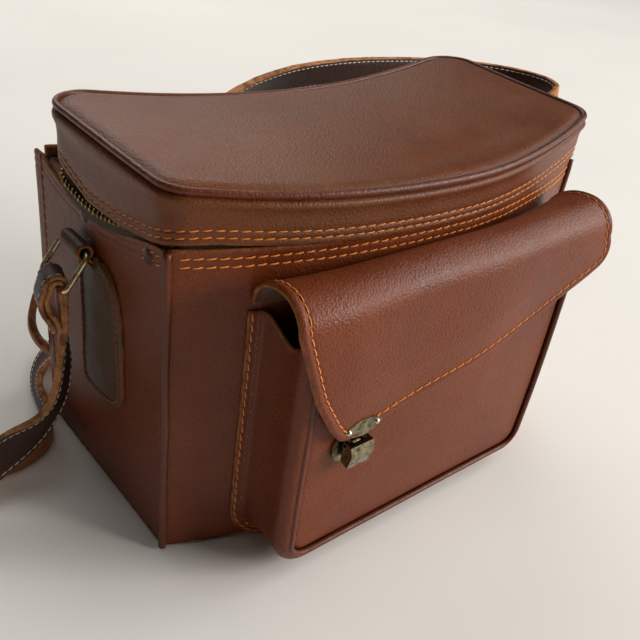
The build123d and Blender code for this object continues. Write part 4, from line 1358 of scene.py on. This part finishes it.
def pad_face(node, axis, count):
    """Grid over the face of a lining's solid: axis 0 or 1 runs along it, and z up it. Also its corners."""
    low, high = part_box(node)
    along, z = np.meshgrid(np.linspace(low[axis] + PAD_RIM, high[axis] - PAD_RIM, count),
                           np.linspace(low.z + PAD_RIM, high.z - PAD_RIM, 44), indexing="ij")
    return along, z, low, high


def linings():
    for node, wall, order in (("front_lining", front_y, -1), ("back_lining", back_y, 1)):
        x, z, _, _ = pad_face(node, 0, 70)
        pad(node, "root", np.stack([x, wall(x, -LINING_IN), z], 2)[::order], LINING_T)
    for node, side in (("left_end_lining", -1), ("right_end_lining", 1)):
        y, z, _, _ = pad_face(node, 1, 36)
        pad(node, "root", np.stack([side * end_x(y, -LINING_IN), y, z], 2)[::-side], LINING_T)
    points, normals = kidney(3 * MM, 3 * MM)
    plan, _ = kidney_patch(points - normals * (LEATHER + PAD_RIM), 70, 44, 0.7)
    z = 0 * plan[:, :, 0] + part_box("base_lining")[1].z
    pad("base_lining", "root", np.dstack([plan, z]), LINING_T)
    y, z, low, high = pad_face("divider", 1, 40)
    pad("divider", "root", np.stack([0 * y + high.x, y, z], 2), high.x - low.x)
    plan, _ = kidney_patch(LID_POINTS - LID_NORMALS * (LEATHER + PAD_RIM), 70, 44, 0.75)
    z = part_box("lid_lining")[0].z + LID_DIP + saddle(plan[:, :, 0])
    pad("lid_lining", "lid", np.dstack([plan, z])[::-1], LINING_T)


linings()


# ---------------------------------------------------------------- metal and boards, as the frame has them
def coat(node, material, bevel):
    """Gives a carried-over node its material, and rounds its edges a little where that shows."""
    obj = bpy.data.objects[node]
    obj.data.materials.clear()
    obj.data.materials.append(material)
    if bevel:
        rounding = obj.modifiers.new("rounded", "BEVEL")
        rounding.width = bevel
        rounding.segments = 2
        rounding.limit_method = "ANGLE"


for node, material, bevel_mm in (
        ("end_rivets", PAINT, 0), ("left_ring", WIRE, 0), ("right_ring", WIRE, 0),
        ("clasp_plate", NICKEL, 0.25), ("clasp_rivets", RIVET_METAL, 0), ("lock_base_plate", NICKEL, 0.3),
        ("lock_body", NICKEL, 0.3), ("lock_catch", NICKEL, 0.3), ("zip_slider", BRASS, 0.2),
        ("zip_pull", BRASS, 0.2), ("base_board", BOARD, 0), ("lid_board", BOARD, 0),
        ("lid_band_board", LINING, 0)):
    coat(node, material, bevel_mm * MM)


# ---------------------------------------------------------------- floor, light and camera
def stage_floor():
    verts = [(x, y, 0) for x, y in ((-6, -6), (6, -6), (6, 6), (-6, 6))]
    build("floor", verts, [(0, 1, 2, 3)], [floor_material()])


def lamp(kind, name, place, target, energy, colour):
    data = bpy.data.lights.new(name, kind)
    data.energy = energy
    data.color = colour
    holder = bpy.data.objects.new(name, data)
    holder.location = place
    holder.rotation_euler = (Vector(target) - Vector(place)).to_track_quat("-Z", "Y").to_euler()
    bpy.context.scene.collection.objects.link(holder)
    return data


def area_light(name, place, target, size, energy, colour):
    data = lamp("AREA", name, place, target, energy, colour)
    data.shape = "RECTANGLE"
    data.size, data.size_y = size


def soft_sun(name, place, angle, energy, colour):
    lamp("SUN", name, place, (0, 0, 0), energy, colour).angle = math.radians(angle)


def world(colour, strength):
    w = bpy.data.worlds.new("studio")
    w.use_nodes = True
    w.node_tree.nodes["Background"].inputs["Color"].default_value = colour
    w.node_tree.nodes["Background"].inputs["Strength"].default_value = strength
    bpy.context.scene.world = w


def camera(eye, target, roll, lens):
    eye, target = Vector(eye), Vector(target)
    ahead = (target - eye).normalized()
    right = ahead.cross(Vector((0, 0, 1))).normalized()
    up = right.cross(ahead)
    turned_right = right * math.cos(roll) + up * math.sin(roll)
    turned_up = up * math.cos(roll) - right * math.sin(roll)
    data = bpy.data.cameras.new("camera")
    data.lens, data.sensor_width = lens, 36
    obj = bpy.data.objects.new("camera", data)
    frame_of = Matrix((turned_right, turned_up, -ahead)).transposed().to_4x4()
    obj.matrix_world = Matrix.Translation(eye) @ frame_of
    bpy.context.scene.collection.objects.link(obj)
    bpy.context.scene.camera = obj


stage_floor()
soft_sun("key", (2.6, -0.9, 1.9), 45, 1.6, (1.0, 0.98, 0.95))
soft_sun("back", (0.9, 3.0, 2.6), 50, 0.34, (1.0, 0.98, 0.94))
soft_sun("top", (0.2, 0.1, 2.6), 30, 0.34, (1.0, 0.98, 0.94))
area_light("window", (0.6, 2.2, 1.6), (0.1, 1.0, 0), (2.2, 1.2), 20, (1.0, 0.98, 0.93))
area_light("front", (1.9, -2.1, 1.2), (0, 0, 0.1), (1.5, 1.0), 74, (1.0, 0.96, 0.92))
world((1.0, 0.95, 0.88, 1.0), 0.07)
camera((-0.2855, -0.3208, 0.3555), (-0.0233, -0.0363, 0.1), math.radians(8.66), 43.49)
bpy.context.scene.view_settings.view_transform = "Standard"
